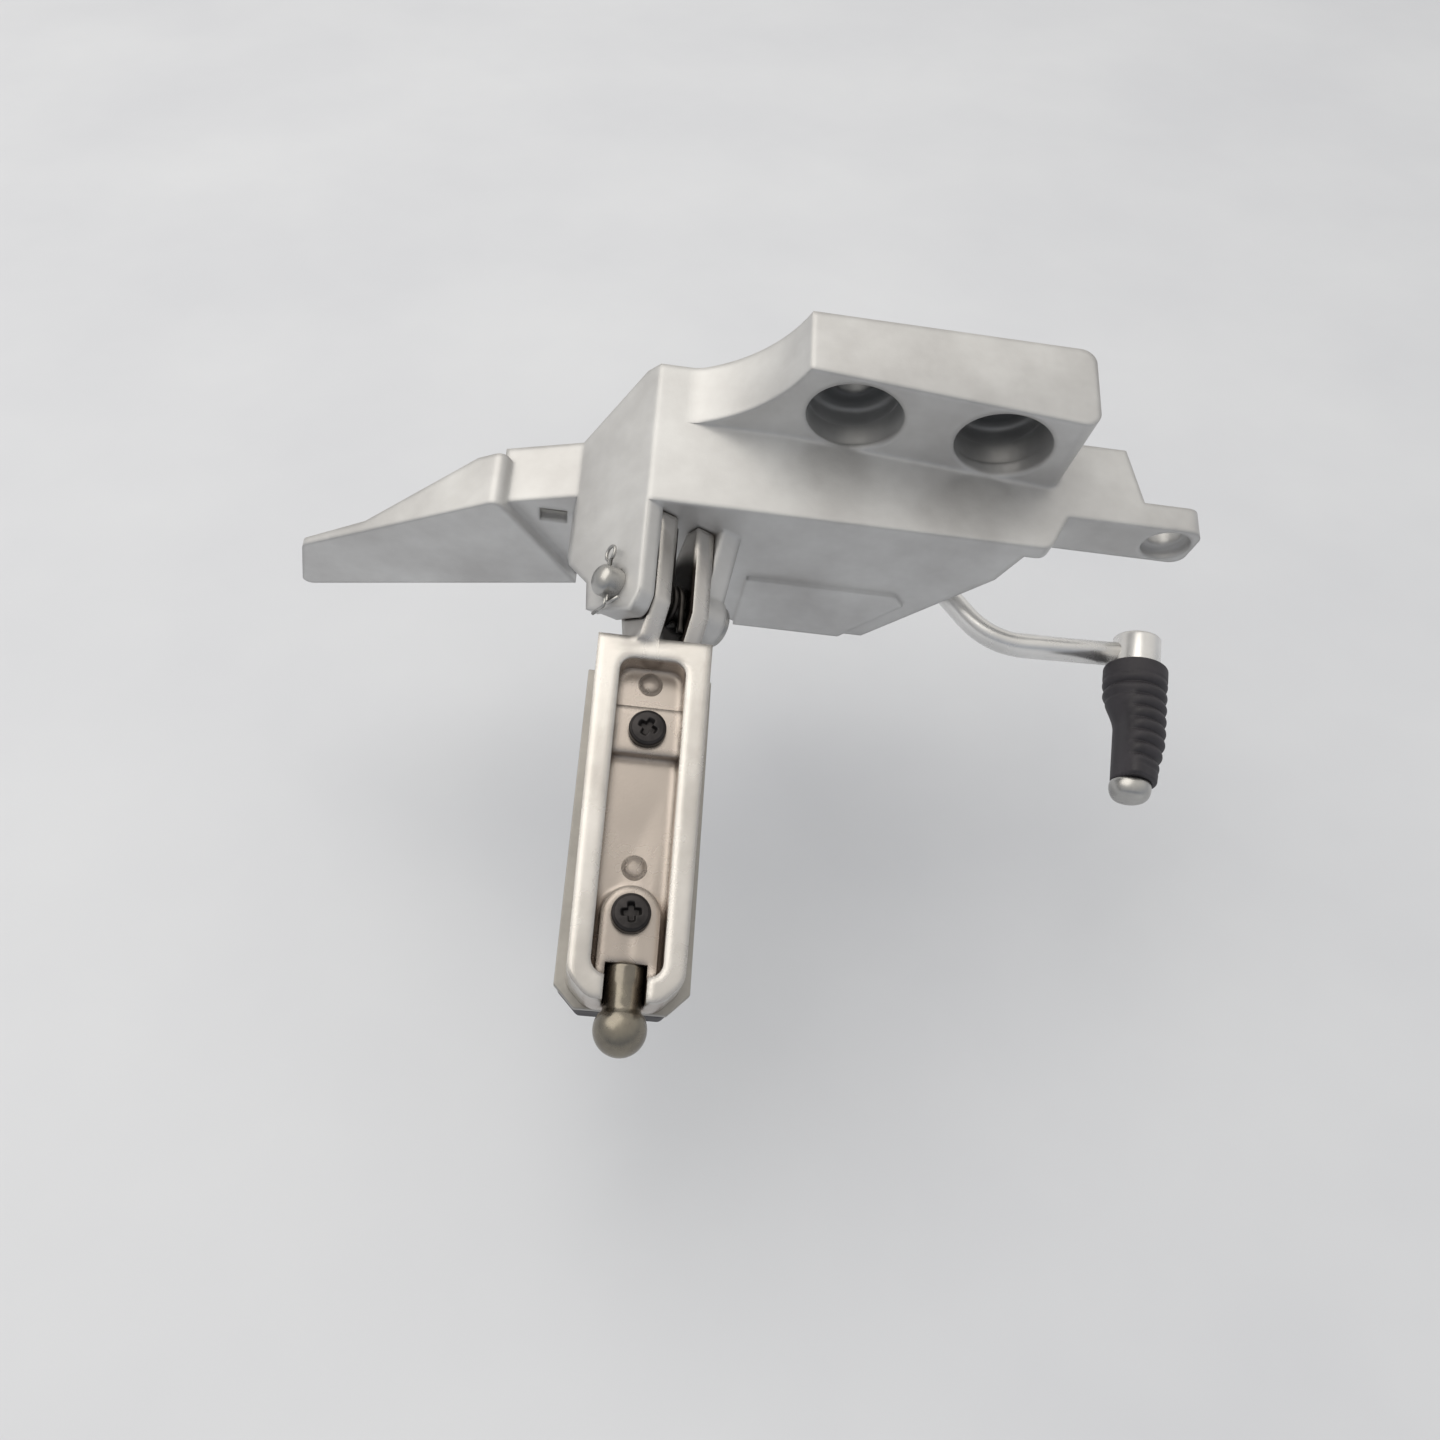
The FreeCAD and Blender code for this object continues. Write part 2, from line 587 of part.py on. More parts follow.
# Split pin: half-round wire folded double, with an eye, its two legs bent apart under the pivot pin
EYE_RADIUS = "(split_eye / 2)"
SPLIT_END = "(pin_dia / 2 + 1.5 * split_wire)"
shank = doc.addObject("Part::Prism", "split_shank")
shank.Placement = FreeCAD.Placement(FreeCAD.Vector(), FreeCAD.Rotation(FreeCAD.Vector(1, 0, 0), -90))
bind(shank, Circumradius="split_wire / 2", Height="2 * %s + split_wire" % SPLIT_END,
     Placement__Base__y="-%s - split_wire" % SPLIT_END, Placement__Base__z=SPLIT_Z)
eye_parts = []
for name, radius, height in (("eye_rim", EYE_RADIUS, "split_wire * 1.1"),
                             ("eye_hole", EYE_RADIUS + " - split_wire", "split_wire * 2")):
    disc = doc.addObject("Part::Prism", name)
    disc.Polygon = 16
    bind(disc, Circumradius=radius, Height=height,
         Placement__Base__y="%s + %s - split_wire / 2" % (SPLIT_END, EYE_RADIUS),
         Placement__Base__z="%s - (%s) / 2" % (SPLIT_Z, height))
    eye_parts.append(disc)
eye = doc.addObject("Part::Cut", "split_eye")
eye.Base, eye.Tool = eye_parts
legs = doc.addObject("Part::Prism", "split_legs")
legs.Placement = FreeCAD.Placement(FreeCAD.Vector(), FreeCAD.Rotation(FreeCAD.Vector(0, 1, 0), 90))
bind(legs, Circumradius="split_wire * 0.4", Height="2 * split_leg", Placement__Base__x="-split_leg",
     Placement__Base__y="-" + SPLIT_END, Placement__Base__z=SPLIT_Z)
split_pin = doc.addObject("Part::MultiFuse", "split_pin")
split_pin.Label = "split_pin"
split_pin.Shapes = [shank, eye, legs]
place_on_hinge(split_pin)


# Return spring: a torsion coil round the pin, between the two ribs of the footrest.
# Its ends run square to the pin, one to the plate and one to the root of the footrest
COIL_RADIUS = "(pin_dia / 2 + spring_side + spring_wire / 2)"
COIL_HALF = "(rib_gap / 2 - spring_side - spring_wire / 2)"
LEG_LAP = "(spring_wire / 3)"
coil_line = doc.addObject("Part::Helix", "coil_line")
bind(coil_line, Radius=COIL_RADIUS, Height="2 * " + COIL_HALF, Pitch="2 * %s / spring_turns" % COIL_HALF,
     Placement__Base__z="-" + COIL_HALF)
coil_wire = doc.addObject("Part::RegularPolygon", "coil_wire")
coil_wire.Polygon = 6
coil_wire.Placement = FreeCAD.Placement(FreeCAD.Vector(), FreeCAD.Rotation(FreeCAD.Vector(1, 0, 0), 90))
bind(coil_wire, Circumradius="spring_wire / 2", Placement__Base__x=COIL_RADIUS,
     Placement__Base__z="-" + COIL_HALF)
coil = doc.addObject("Part::Sweep", "coil")
coil.Sections = [coil_wire]
coil.Spine = (coil_line, ["Edge1"])
coil.Solid = True
coil.Frenet = True
spring_legs = []
for name, turn, lap, height, reach in (
        ("leg_inboard", -90, "-" + LEG_LAP, COIL_HALF, "pivot_out - outer_face - spring_wire"),
        ("leg_outboard", 90, LEG_LAP, "-" + COIL_HALF, "peg_root - pivot_out - 2 * spring_wire")):
    leg = doc.addObject("Part::Cylinder", name)
    leg.Placement = FreeCAD.Placement(FreeCAD.Vector(), FreeCAD.Rotation(FreeCAD.Vector(1, 0, 0), turn))
    bind(leg, Radius="spring_wire * 0.36", Height="%s + %s" % (reach, LEG_LAP),
         Placement__Base__x=COIL_RADIUS, Placement__Base__y=lap, Placement__Base__z=height)
    spring_legs.append(leg)
spring = doc.addObject("Part::MultiFuse", "return_spring")
spring.Label = "return_spring"
spring.Shapes = [coil] + spring_legs
place_on_hinge(spring)


# Footrest: an aluminium casting with a trough below and two hinge ribs
RIB_WALL = "((lug_gap - 2 * hinge_side - rib_gap) / 2)"
FEELER_Z = "(peg_foot + feeler_rise)"
footrest = new_body("footrest_casting")

peg = new_sketch(footrest, "peg", "XY_Plane", "peg_foot")
polygon(peg, [("peg_x - peg_wide / 2", "-peg_root"), ("peg_x + peg_wide / 2", "-peg_root"),
              ("peg_x + peg_end_wide / 2", "-%s + peg_corner" % PEG_END),
              ("peg_x + peg_end_wide / 2 - peg_corner", "-" + PEG_END),
              ("peg_x - peg_end_wide / 2 + peg_corner", "-" + PEG_END),
              ("peg_x - peg_end_wide / 2", "-%s + peg_corner" % PEG_END)])
peg_pad = pad(footrest, peg, "peg_high")
soften(footrest, peg_pad, "peg_corners", "peg_corner",
       runs(ALONG_Z, lambda x, y, z: y < number("peg_corner + 1 - peg_root - peg_long")))

trough = new_sketch(footrest, "trough", "XY_Plane", "peg_foot")
polygon(trough, [("peg_x - trough_wide / 2", "-peg_root - trough_inset"),
                 ("peg_x + trough_wide / 2", "-peg_root - trough_inset"),
                 ("peg_x + trough_wide / 2", "-%s + trough_inset" % PEG_END),
                 ("peg_x - trough_wide / 2", "-%s + trough_inset" % PEG_END)])
trough_cut = pocket(footrest, trough, "trough_deep", back=True)
soften(footrest, trough_cut, "trough_corners", "trough_corner",
       runs(ALONG_Z, lambda x, y, z: abs(x - number("peg_x")) < number("trough_wide / 2 + 0.1")
            and z < number("peg_foot + trough_deep")))
doc.recompute()

screw_pad = new_sketch(footrest, "screw_pad", "XY_Plane", PAD_Z)
polygon(screw_pad, [("peg_x - trough_wide / 2", "-peg_root - pad_first - pad_long / 2"),
                    ("peg_x + trough_wide / 2", "-peg_root - pad_first - pad_long / 2"),
                    ("peg_x + trough_wide / 2", "-peg_root - pad_first + pad_long / 2"),
                    ("peg_x - trough_wide / 2", "-peg_root - pad_first + pad_long / 2")])
pad(footrest, screw_pad, "pad_rise")

tongue = new_sketch(footrest, "tongue", "XY_Plane", PAD_Z)
polygon(tongue, [("peg_x - tongue_wide / 2", LAST_SCREW),
                 ("peg_x + tongue_wide / 2", LAST_SCREW),
                 ("peg_x + tongue_wide / 2", "-%s + trough_inset" % PEG_END),
                 ("peg_x - tongue_wide / 2", "-%s + trough_inset" % PEG_END)])
pad(footrest, tongue, "pad_rise")

tongue_end = new_sketch(footrest, "tongue_end", "XY_Plane", PAD_Z)
circle(tongue_end, "peg_x", LAST_SCREW, "tongue_wide")
pad(footrest, tongue_end, "pad_rise")

for name, along in (("front_rib", "-rib_gap / 2 - " + RIB_WALL), ("rear_rib", "rib_gap / 2")):
    rib = hinge_sketch(footrest, name, along)
    polygon(rib, [("lug_small", "pivot_out - outer_face - heel_gap"),
                  ("heel_rise", "pivot_out - outer_face - heel_gap"), ("-lug_small", "pin_dia / 2"),
                  ("-lug_small / 2", "pivot_out - peg_root - heel_rise / 3"),
                  ("lug_small / 2", "pivot_out - peg_root - heel_rise / 3"), ("lug_small", "-pin_dia / 2")])
    pad(footrest, rib, RIB_WALL)

rib_hole = hinge_sketch(footrest, "rib_hole", "lug_gap / 2")
circle(rib_hole, "0", "0", "pin_dia + 2 * pin_fit")
pocket(footrest, rib_hole, "lug_gap")

screw_holes = new_sketch(footrest, "screw_holes", "XY_Plane", PAD_Z)
circle(screw_holes, "peg_x", FIRST_SCREW, "screw_dia + 2 * screw_fit")
circle(screw_holes, "peg_x", LAST_SCREW, "screw_dia + 2 * screw_fit")
pocket(footrest, screw_holes, "peg_high", back=True)

notch = new_sketch(footrest, "feeler_notch", "XY_Plane", "peg_foot")
polygon(notch, [("peg_x - feeler_neck / 2 - feeler_side", "-" + PEG_END),
                ("peg_x + feeler_neck / 2 + feeler_side", "-" + PEG_END),
                ("peg_x + feeler_neck / 2 + feeler_side", "-%s + feeler_inset" % PEG_END),
                ("peg_x - feeler_neck / 2 - feeler_side", "-%s + feeler_inset" % PEG_END)])
pocket(footrest, notch, "feeler_rise", back=True)

notch_round = new_sketch(footrest, "notch_round", "XZ_Plane", PEG_END)
circle(notch_round, "peg_x", FEELER_Z, "feeler_neck + 2 * feeler_side")
pocket(footrest, notch_round, "feeler_inset")

feeler_hole = new_sketch(footrest, "feeler_hole", "XZ_Plane", PEG_END)
circle(feeler_hole, "peg_x", FEELER_Z, "feeler_screw")
pocket(footrest, feeler_hole, "feeler_inset + feeler_thread")
doc.recompute()


# Feeler: a turned steel pin with a ball end, screwed into the tongue
feeler = new_body("feeler_pin")
feeler_half = new_sketch(feeler, "feeler_half", "XZ_Plane")
profile = [("0", "-feeler_inset - feeler_thread"),
           ("feeler_screw / 2 - feeler_fit", "-feeler_inset - feeler_thread"),
           ("feeler_screw / 2 - feeler_fit", "-feeler_inset"), ("feeler_neck / 2", "-feeler_inset"),
           ("feeler_neck / 2", "feeler_reach - feeler_ball / 2 * cos(50)")]
for turn in range(66, 180, 19):
    profile.append(("feeler_ball / 2 * sin(%d)" % turn, "feeler_reach - feeler_ball / 2 * cos(%d)" % turn))
profile.append(("0", "feeler_reach + feeler_ball / 2"))
polygon(feeler_half, profile)
turned(feeler, feeler_half)
feeler.Placement = FreeCAD.Placement(FreeCAD.Vector(), FreeCAD.Rotation(FreeCAD.Vector(1, 0, 0), 90))
bind(feeler, Placement__Base__x="peg_x", Placement__Base__y="-" + PEG_END, Placement__Base__z=FEELER_Z)


# Tread: a steel plate on the casting, and the grooved rubber on the plate
def tread_outline(sketch, width):
    """Draw the tread's plan, with its outer corners cut off."""
    polygon(sketch, [("peg_x - %s / 2" % width, "-peg_root - tread_start"),
                     ("peg_x + %s / 2" % width, "-peg_root - tread_start"),
                     ("peg_x + %s / 2" % width, "-%s + peg_corner" % PEG_END),
                     ("peg_x + %s / 2 - peg_corner" % width, "-" + PEG_END),
                     ("peg_x - %s / 2 + peg_corner" % width, "-" + PEG_END),
                     ("peg_x - %s / 2" % width, "-%s + peg_corner" % PEG_END)])


tread_plate = new_body("tread_plate")
tread_flat = new_sketch(tread_plate, "tread_flat", "XY_Plane", PEG_TOP)
tread_outline(tread_flat, "tread_wide")
pad(tread_plate, tread_flat, "tread_wall")
tread_holes = new_sketch(tread_plate, "tread_holes", "XY_Plane", PEG_TOP)
circle(tread_holes, "peg_x", FIRST_SCREW, "screw_dia")
circle(tread_holes, "peg_x", LAST_SCREW, "screw_dia")
pocket(tread_plate, tread_holes, "tread_wall", back=True)

RUBBER_TOP = "(%s + tread_wall + rubber_high)" % PEG_TOP
tread_rubber = new_body("tread_rubber")
rubber_flat = new_sketch(tread_rubber, "rubber_flat", "XY_Plane", PEG_TOP + " + tread_wall")
tread_outline(rubber_flat, "rubber_wide")
pad(tread_rubber, rubber_flat, "rubber_high")
doc.recompute()
groove = new_sketch(tread_rubber, "rubber_groove", "YZ_Plane", "peg_x - rubber_wide")
polygon(groove, [("-peg_root - tread_start - rubber_pitch", RUBBER_TOP),
                 ("-peg_root - tread_start - rubber_pitch - rubber_groove", RUBBER_TOP),
                 ("-peg_root - tread_start - rubber_pitch - rubber_groove", RUBBER_TOP + " - rubber_groove"),
                 ("-peg_root - tread_start - rubber_pitch", RUBBER_TOP + " - rubber_groove")])
cut = pocket(tread_rubber, groove, "2 * rubber_wide", back=True)
doc.recompute()
grooves = tread_rubber.newObject("PartDesign::LinearPattern", "rubber_grooves")
grooves.Originals = [cut]
grooves.Direction = (groove, ["H_Axis"])
grooves.Reversed = True
bind(grooves, Length="(rubber_lines - 1) * rubber_pitch", Occurrences="rubber_lines")
tread_rubber.Tip = grooves


# Tread screws: two pan-headed screws from below, through the casting into the plate
screw_parts = []
for number_of, place in enumerate((FIRST_SCREW, LAST_SCREW)):
    head = doc.addObject("Part::Cylinder", "screw_head_%d" % number_of)
    bind(head, Radius="screw_head / 2", Height="screw_head_high", Placement__Base__x="peg_x",
         Placement__Base__y=place, Placement__Base__z=PAD_Z + " - screw_head_high")
    stem = doc.addObject("Part::Cylinder", "screw_stem_%d" % number_of)
    bind(stem, Radius="screw_dia / 2 - screw_fit / 4",
         Height="screw_head_high + peg_high - trough_deep + pad_rise + tread_wall",
         Placement__Base__x="peg_x", Placement__Base__y=place,
         Placement__Base__z=PAD_Z + " - screw_head_high")
    screw_parts += [head, stem]
screws = doc.addObject("Part::MultiFuse", "tread_screws")
screws.Label = "tread_screws"
screws.Shapes = screw_parts


# Gear lever, drawn level in its own frame: x runs back along the arm and y inboard
LEVER_DROP = "atan((lever_z - toe_z) / (lever_x + toe_x))"
TOE_REACH = "sqrt((lever_x + toe_x) ^ 2 + (lever_z - toe_z) ^ 2)"
HUB_MID = "(%s - hub_long / 2)" % HUB_START


def place_lever(item):
    turn = FreeCAD.Rotation(FreeCAD.Vector(0, 1, 0), -10)
    item.Placement = FreeCAD.Placement(FreeCAD.Vector(), turn)
    bind(item, Placement__Base__x="lever_x", Placement__Base__z="lever_z",
         Placement__Rotation__Angle="-" + LEVER_DROP)


def toe_sketch(body, name):
    """Start a sketch through the toe pin's axis; y falls outboard along the pin."""
    sketch = new_sketch(body, name, "XY_Plane")
    turn = FreeCAD.Rotation(FreeCAD.Vector(0, 0, 1), 5)
    sketch.AttachmentOffset = FreeCAD.Placement(FreeCAD.Vector(), turn)
    bind(sketch, AttachmentOffset__Base__x="-" + TOE_REACH, AttachmentOffset__Base__y="-toe_out",
         AttachmentOffset__Base__z="0", AttachmentOffset__Rotation__Angle="toe_sweep")
    return sketch


lever = new_body("gear_lever")
hub = new_sketch(lever, "hub", "XZ_Plane", HUB_START)
circle(hub, "0", "0", "hub_dia")
pad(lever, hub, "hub_long", back=True)

path = new_sketch(lever, "arm_path", "XY_Plane")
polygon(path, [("0", "-" + HUB_MID), ("-arm_first", "-" + HUB_MID), ("-arm_second", "-toe_out + arm_set"),
               ("-" + TOE_REACH, "-toe_out")], closed=False)
section = new_sketch(lever, "arm_section", "YZ_Plane")
arm_spots = [(across, up) for across, up in ((-0.5, -0.25), (-0.25, -0.5), (0.25, -0.5), (0.5, -0.25),
                                             (0.5, 0.25), (0.25, 0.5), (-0.25, 0.5), (-0.5, 0.25))]
polygon(section, [("-%s + arm_wall * (%s)" % (HUB_MID, across), "arm_high * (%s)" % up)
                  for across, up in arm_spots])
arm = lever.newObject("PartDesign::AdditivePipe", "arm")
arm.Profile = section
arm.Spine = (path, ["Edge1", "Edge2", "Edge3"])
arm.Transition = "Round corner"
doc.recompute()

link_arm = new_sketch(lever, "link_arm", "XZ_Plane", HUB_START + " - hub_long + link_wall")
polygon(link_arm, [("-link_eye / 2", "0"), ("link_eye / 2", "0"), ("link_x + link_eye / 3", "link_z"),
                   ("link_x - link_eye / 3", "link_z")])
pad(lever, link_arm, "link_wall", back=True)
link_end = new_sketch(lever, "link_end", "XZ_Plane", HUB_START + " - hub_long + link_wall")
circle(link_end, "link_x", "link_z", "link_eye")
pad(lever, link_end, "link_wall", back=True)

toe_boss = toe_sketch(lever, "toe_boss")
polygon(toe_boss, [("0", "toe_boss_long / 2"), ("0", "-toe_boss_long / 2"),
                   ("toe_boss_dia / 2", "-toe_boss_long / 2"), ("toe_boss_dia / 2", "toe_boss_long / 2")])
turned(lever, toe_boss)
doc.recompute()

hub_bore = new_sketch(lever, "hub_bore", "XZ_Plane", HUB_START)
circle(hub_bore, "0", "0", "shoulder_dia + 2 * bush_wall")
pocket(lever, hub_bore, "hub_long")
link_hole = new_sketch(lever, "link_hole", "XZ_Plane", HUB_START + " - hub_long + link_wall")
circle(link_hole, "link_x", "link_z", "link_hole")
pocket(lever, link_hole, "link_wall")
toe_hole = toe_sketch(lever, "toe_hole")
polygon(toe_hole, [("0", "toe_boss_long / 2"), ("0", "-toe_boss_long / 2"),
                   ("toe_stem_dia / 2", "-toe_boss_long / 2"), ("toe_stem_dia / 2", "toe_boss_long / 2")])
toe_drill = lever.newObject("PartDesign::Groove", "toe_drill")
toe_drill.Profile = toe_hole
toe_drill.ReferenceAxis = (toe_hole, ["V_Axis"])
toe_drill.Angle = 360
place_lever(lever)
doc.recompute()


# Toe pin: turned steel, riveted in the boss, with a mushroom end that holds its rubber
RUBBER_END = "(toe_boss_long / 2 + toe_rubber_long)"
toe_pin = new_body("toe_pin")
toe_half = toe_sketch(toe_pin, "toe_half")
polygon(toe_half, [("0", "toe_boss_long / 2"), ("toe_stem_dia / 2", "toe_boss_long / 2"),
                   ("toe_stem_dia / 2", "-toe_boss_long / 2"), ("toe_pin_dia / 2", "-toe_boss_long / 2"),
                   ("toe_pin_dia / 2", "-" + RUBBER_END), ("toe_end_dia / 2", "-" + RUBBER_END),
                   ("toe_end_dia / 2", "-%s - toe_end_long / 2" % RUBBER_END),
                   ("toe_pin_dia / 2", "-%s - toe_end_long" % RUBBER_END),
                   ("0", "-%s - toe_end_long" % RUBBER_END)])
turned(toe_pin, toe_half)
place_lever(toe_pin)

# Toe rubber: a moulded sleeve with round ribs, smooth and waisted on its rear side
RIB_STEP = "(toe_rubber_long / (2 * toe_ribs + 1))"
toe_rubber = new_body("toe_rubber")
sleeve = toe_sketch(toe_rubber, "sleeve")
ring = [("toe_pin_dia / 2", "-toe_boss_long / 2")]
for step in range(2 * int(SIZES["toe_ribs"]) + 2):
    proud = "toe_rubber_dia / 2" if step % 2 == 0 else "toe_rubber_dia / 2 - toe_rib"
    ring.append((proud, "-toe_boss_long / 2 - %d * %s" % (step, RIB_STEP)))
ring.append(("toe_pin_dia / 2", "-" + RUBBER_END))
polygon(sleeve, ring)
turned(toe_rubber, sleeve)
doc.recompute()
waist = toe_sketch(toe_rubber, "waist")
polygon(waist, [("toe_rubber_dia / 2", "-toe_boss_long / 2 - 5 * " + RIB_STEP),
                ("toe_rubber_dia / 2 - toe_waist * 0.7", "-toe_boss_long / 2 - 8 * " + RIB_STEP),
                ("toe_rubber_dia / 2 - toe_waist", "-toe_boss_long / 2 - 12 * " + RIB_STEP),
                ("toe_rubber_dia / 2 - toe_waist", "-toe_boss_long / 2 - 15 * " + RIB_STEP),
                ("toe_rubber_dia / 2 - toe_waist * 0.8", "-" + RUBBER_END),
                ("toe_rubber_dia", "-" + RUBBER_END),
                ("toe_rubber_dia", "-toe_boss_long / 2 - 5 * " + RIB_STEP)])
pocket(toe_rubber, waist, "2 * toe_rubber_dia", middle=True)
place_lever(toe_rubber)


# Bush and seals in the lever's hub
bush = new_body("lever_bush")
bush_ring = new_sketch(bush, "bush_ring", "XY_Plane", "hub_side + seal_wire")
circle(bush_ring, "0", "0", "shoulder_dia + 2 * bush_wall")
circle(bush_ring, "0", "0", "shoulder_dia + 2 * bush_fit")
pad(bush, bush_ring, "hub_long - 2 * seal_wire")
place_along_y(bush, "lever_x", "-" + BOSS_FACE, "lever_z")

seal_rings = []
for name, place in (("outer_seal", "hub_side"), ("inner_seal", "hub_side + hub_long - seal_wire")):
    ring_parts = []
    for part, radius in (("rim", "(shoulder_dia + bush_wall + seal_wire) / 2"),
                         ("hole", "(shoulder_dia + bush_wall - seal_wire) / 2")):
        disc = doc.addObject("Part::Cylinder", name + "_" + part)
        bind(disc, Radius=radius, Height="seal_wire", Placement__Base__z=place)
        ring_parts.append(disc)
    seal = doc.addObject("Part::Cut", name)
    seal.Base, seal.Tool = ring_parts
    seal_rings.append(seal)
seals = doc.addObject("Part::Compound", "hub_seals")
seals.Label = "hub_seals"
seals.Links = seal_rings
place_along_y(seals, "lever_x", "-" + BOSS_FACE, "lever_z")


# Shoulder bolt and thrust washer on which the lever turns
SHOULDER = "(2 * hub_side + hub_long + washer_wall)"
bolt = new_body("lever_pivot_bolt")
bolt_half = new_sketch(bolt, "bolt_half", "XZ_Plane")
polygon(bolt_half, [("0", "-boss_high - plate_wall / 2"),
                    ("bolt_thread / 2 - screw_fit / 4", "-boss_high - plate_wall / 2"),
                    ("bolt_thread / 2 - screw_fit / 4", "0"), ("shoulder_dia / 2", "0"),
                    ("shoulder_dia / 2", SHOULDER), ("bolt_head_dia / 2", SHOULDER),
                    ("bolt_head_dia / 2", SHOULDER + " + bolt_head_high"),
                    ("0", SHOULDER + " + bolt_head_high")])
turned(bolt, bolt_half)
doc.recompute()
key_hole = new_sketch(bolt, "key_hole", "XY_Plane", SHOULDER + " + bolt_head_high")
key = "bolt_key / sqrt(3)"
polygon(key_hole, [("%s * cos(%d)" % (key, turn), "%s * sin(%d)" % (key, turn))
                   for turn in range(0, 360, 60)])
pocket(bolt, key_hole, "bolt_head_high * 0.6")
place_along_y(bolt, "lever_x", "-" + BOSS_FACE, "lever_z")

washer = new_body("lever_washer")
washer_ring = new_sketch(washer, "washer_ring", "XY_Plane", SHOULDER + " - washer_wall")
circle(washer_ring, "0", "0", "bolt_head_dia + washer_wall")
circle(washer_ring, "0", "0", "shoulder_dia + screw_fit")
pad(washer, washer_ring, "washer_wall")
place_along_y(washer, "lever_x", "-" + BOSS_FACE, "lever_z")


# Every object is tested before the sub-parts are written
doc.recompute()
for item in doc.Objects:
    if "Invalid" in item.State or "Error" in item.State:
        raise RuntimeError("%s failed: %s" % (item.Name, item.State))
pieces = [casting, pin, split_pin, spring, footrest, feeler, tread_plate, tread_rubber, screws,
          lever, toe_pin, toe_rubber, bush, seals, bolt, washer]
for piece in pieces:
    if piece.Shape.isNull() or not piece.Shape.isValid():
        raise RuntimeError("%s has no valid shape" % piece.Label)
os.makedirs("parts", exist_ok=True)
for piece in pieces:
    piece.Shape.exportStep("parts/%s.step" % piece.Label)
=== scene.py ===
import math
import bmesh
import bpy
import numpy as np
from mathutils import Matrix, Vector


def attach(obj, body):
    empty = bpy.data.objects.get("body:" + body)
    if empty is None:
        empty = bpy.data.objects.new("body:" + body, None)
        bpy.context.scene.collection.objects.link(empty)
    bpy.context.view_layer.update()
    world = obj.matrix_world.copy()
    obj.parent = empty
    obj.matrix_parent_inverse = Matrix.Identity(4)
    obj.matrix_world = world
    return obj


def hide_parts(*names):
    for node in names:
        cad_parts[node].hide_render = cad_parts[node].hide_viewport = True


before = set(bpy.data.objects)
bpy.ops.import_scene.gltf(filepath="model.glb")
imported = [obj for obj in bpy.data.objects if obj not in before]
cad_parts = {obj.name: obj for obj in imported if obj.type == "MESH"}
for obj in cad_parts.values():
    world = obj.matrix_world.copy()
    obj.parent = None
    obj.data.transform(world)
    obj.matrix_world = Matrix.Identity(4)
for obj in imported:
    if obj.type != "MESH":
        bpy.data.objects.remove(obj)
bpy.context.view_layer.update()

# Hanger: one aluminium die casting, tumbled and coated with thin silver lacquer.
# It bolts to the frame through the two round recesses of its rail. The mould gives it soft edges
# and a faint grain, and the gap between its lugs is darkened with painted shade.
HANGER_EDGE = 0.0011
EDGE_STEPS = 3
SHARP_ANGLE = math.radians(28.0)
FLAT_ANGLE = math.radians(0.4)
CAD_DOUBLES = 2e-6
HINGE = np.array((0.0610, -0.0630, 0.02565))
HINGE_TILT = math.radians(30)
PIN_AXIS = np.array((math.cos(HINGE_TILT), 0.0, -math.sin(HINGE_TILT)))
LUG_HALF_GAP = 0.0092
LUG_SHADE_REACH = 0.0155
GAP_SHADE_CORE = 0.7
RECESS_X = 0.019
RECESS_Y = -0.0090
RECESS_BACK = -0.0005
RECESS_SHADE_EDGE = 0.0150
RECESS_SHADE_CORE = 0.0085
RECESS_SHADE_MOST = 0.85


def linear(hex_colour):
    """Turn an sRGB hex colour into linear red, green, blue and alpha: each part c of the three is
    c / 12.92 near black, and otherwise (c + 0.055) / 1.055 to the power 2.4."""
    parts = [int(hex_colour[i:i + 2], 16) / 255 for i in (1, 3, 5)]
    return tuple(c / 12.92 if c <= 0.04045 else ((c + 0.055) / 1.055) ** 2.4 for c in parts) + (1.0,)


def add(tree, kind, inputs=None, **settings):
    """Add a node; settings go on the node, and each input takes a socket or a plain value."""
    node = tree.nodes.new(kind)
    for name, value in settings.items():
        setattr(node, name, value)
    for name, value in (inputs or {}).items():
        if isinstance(value, bpy.types.NodeSocket):
            tree.links.new(value, node.inputs[name])
        else:
            node.inputs[name].default_value = value
    return node


def per_mm(millimetres):
    """The texture scale that gives a pattern this size, in an object measured in metres."""
    return 1000.0 / millimetres


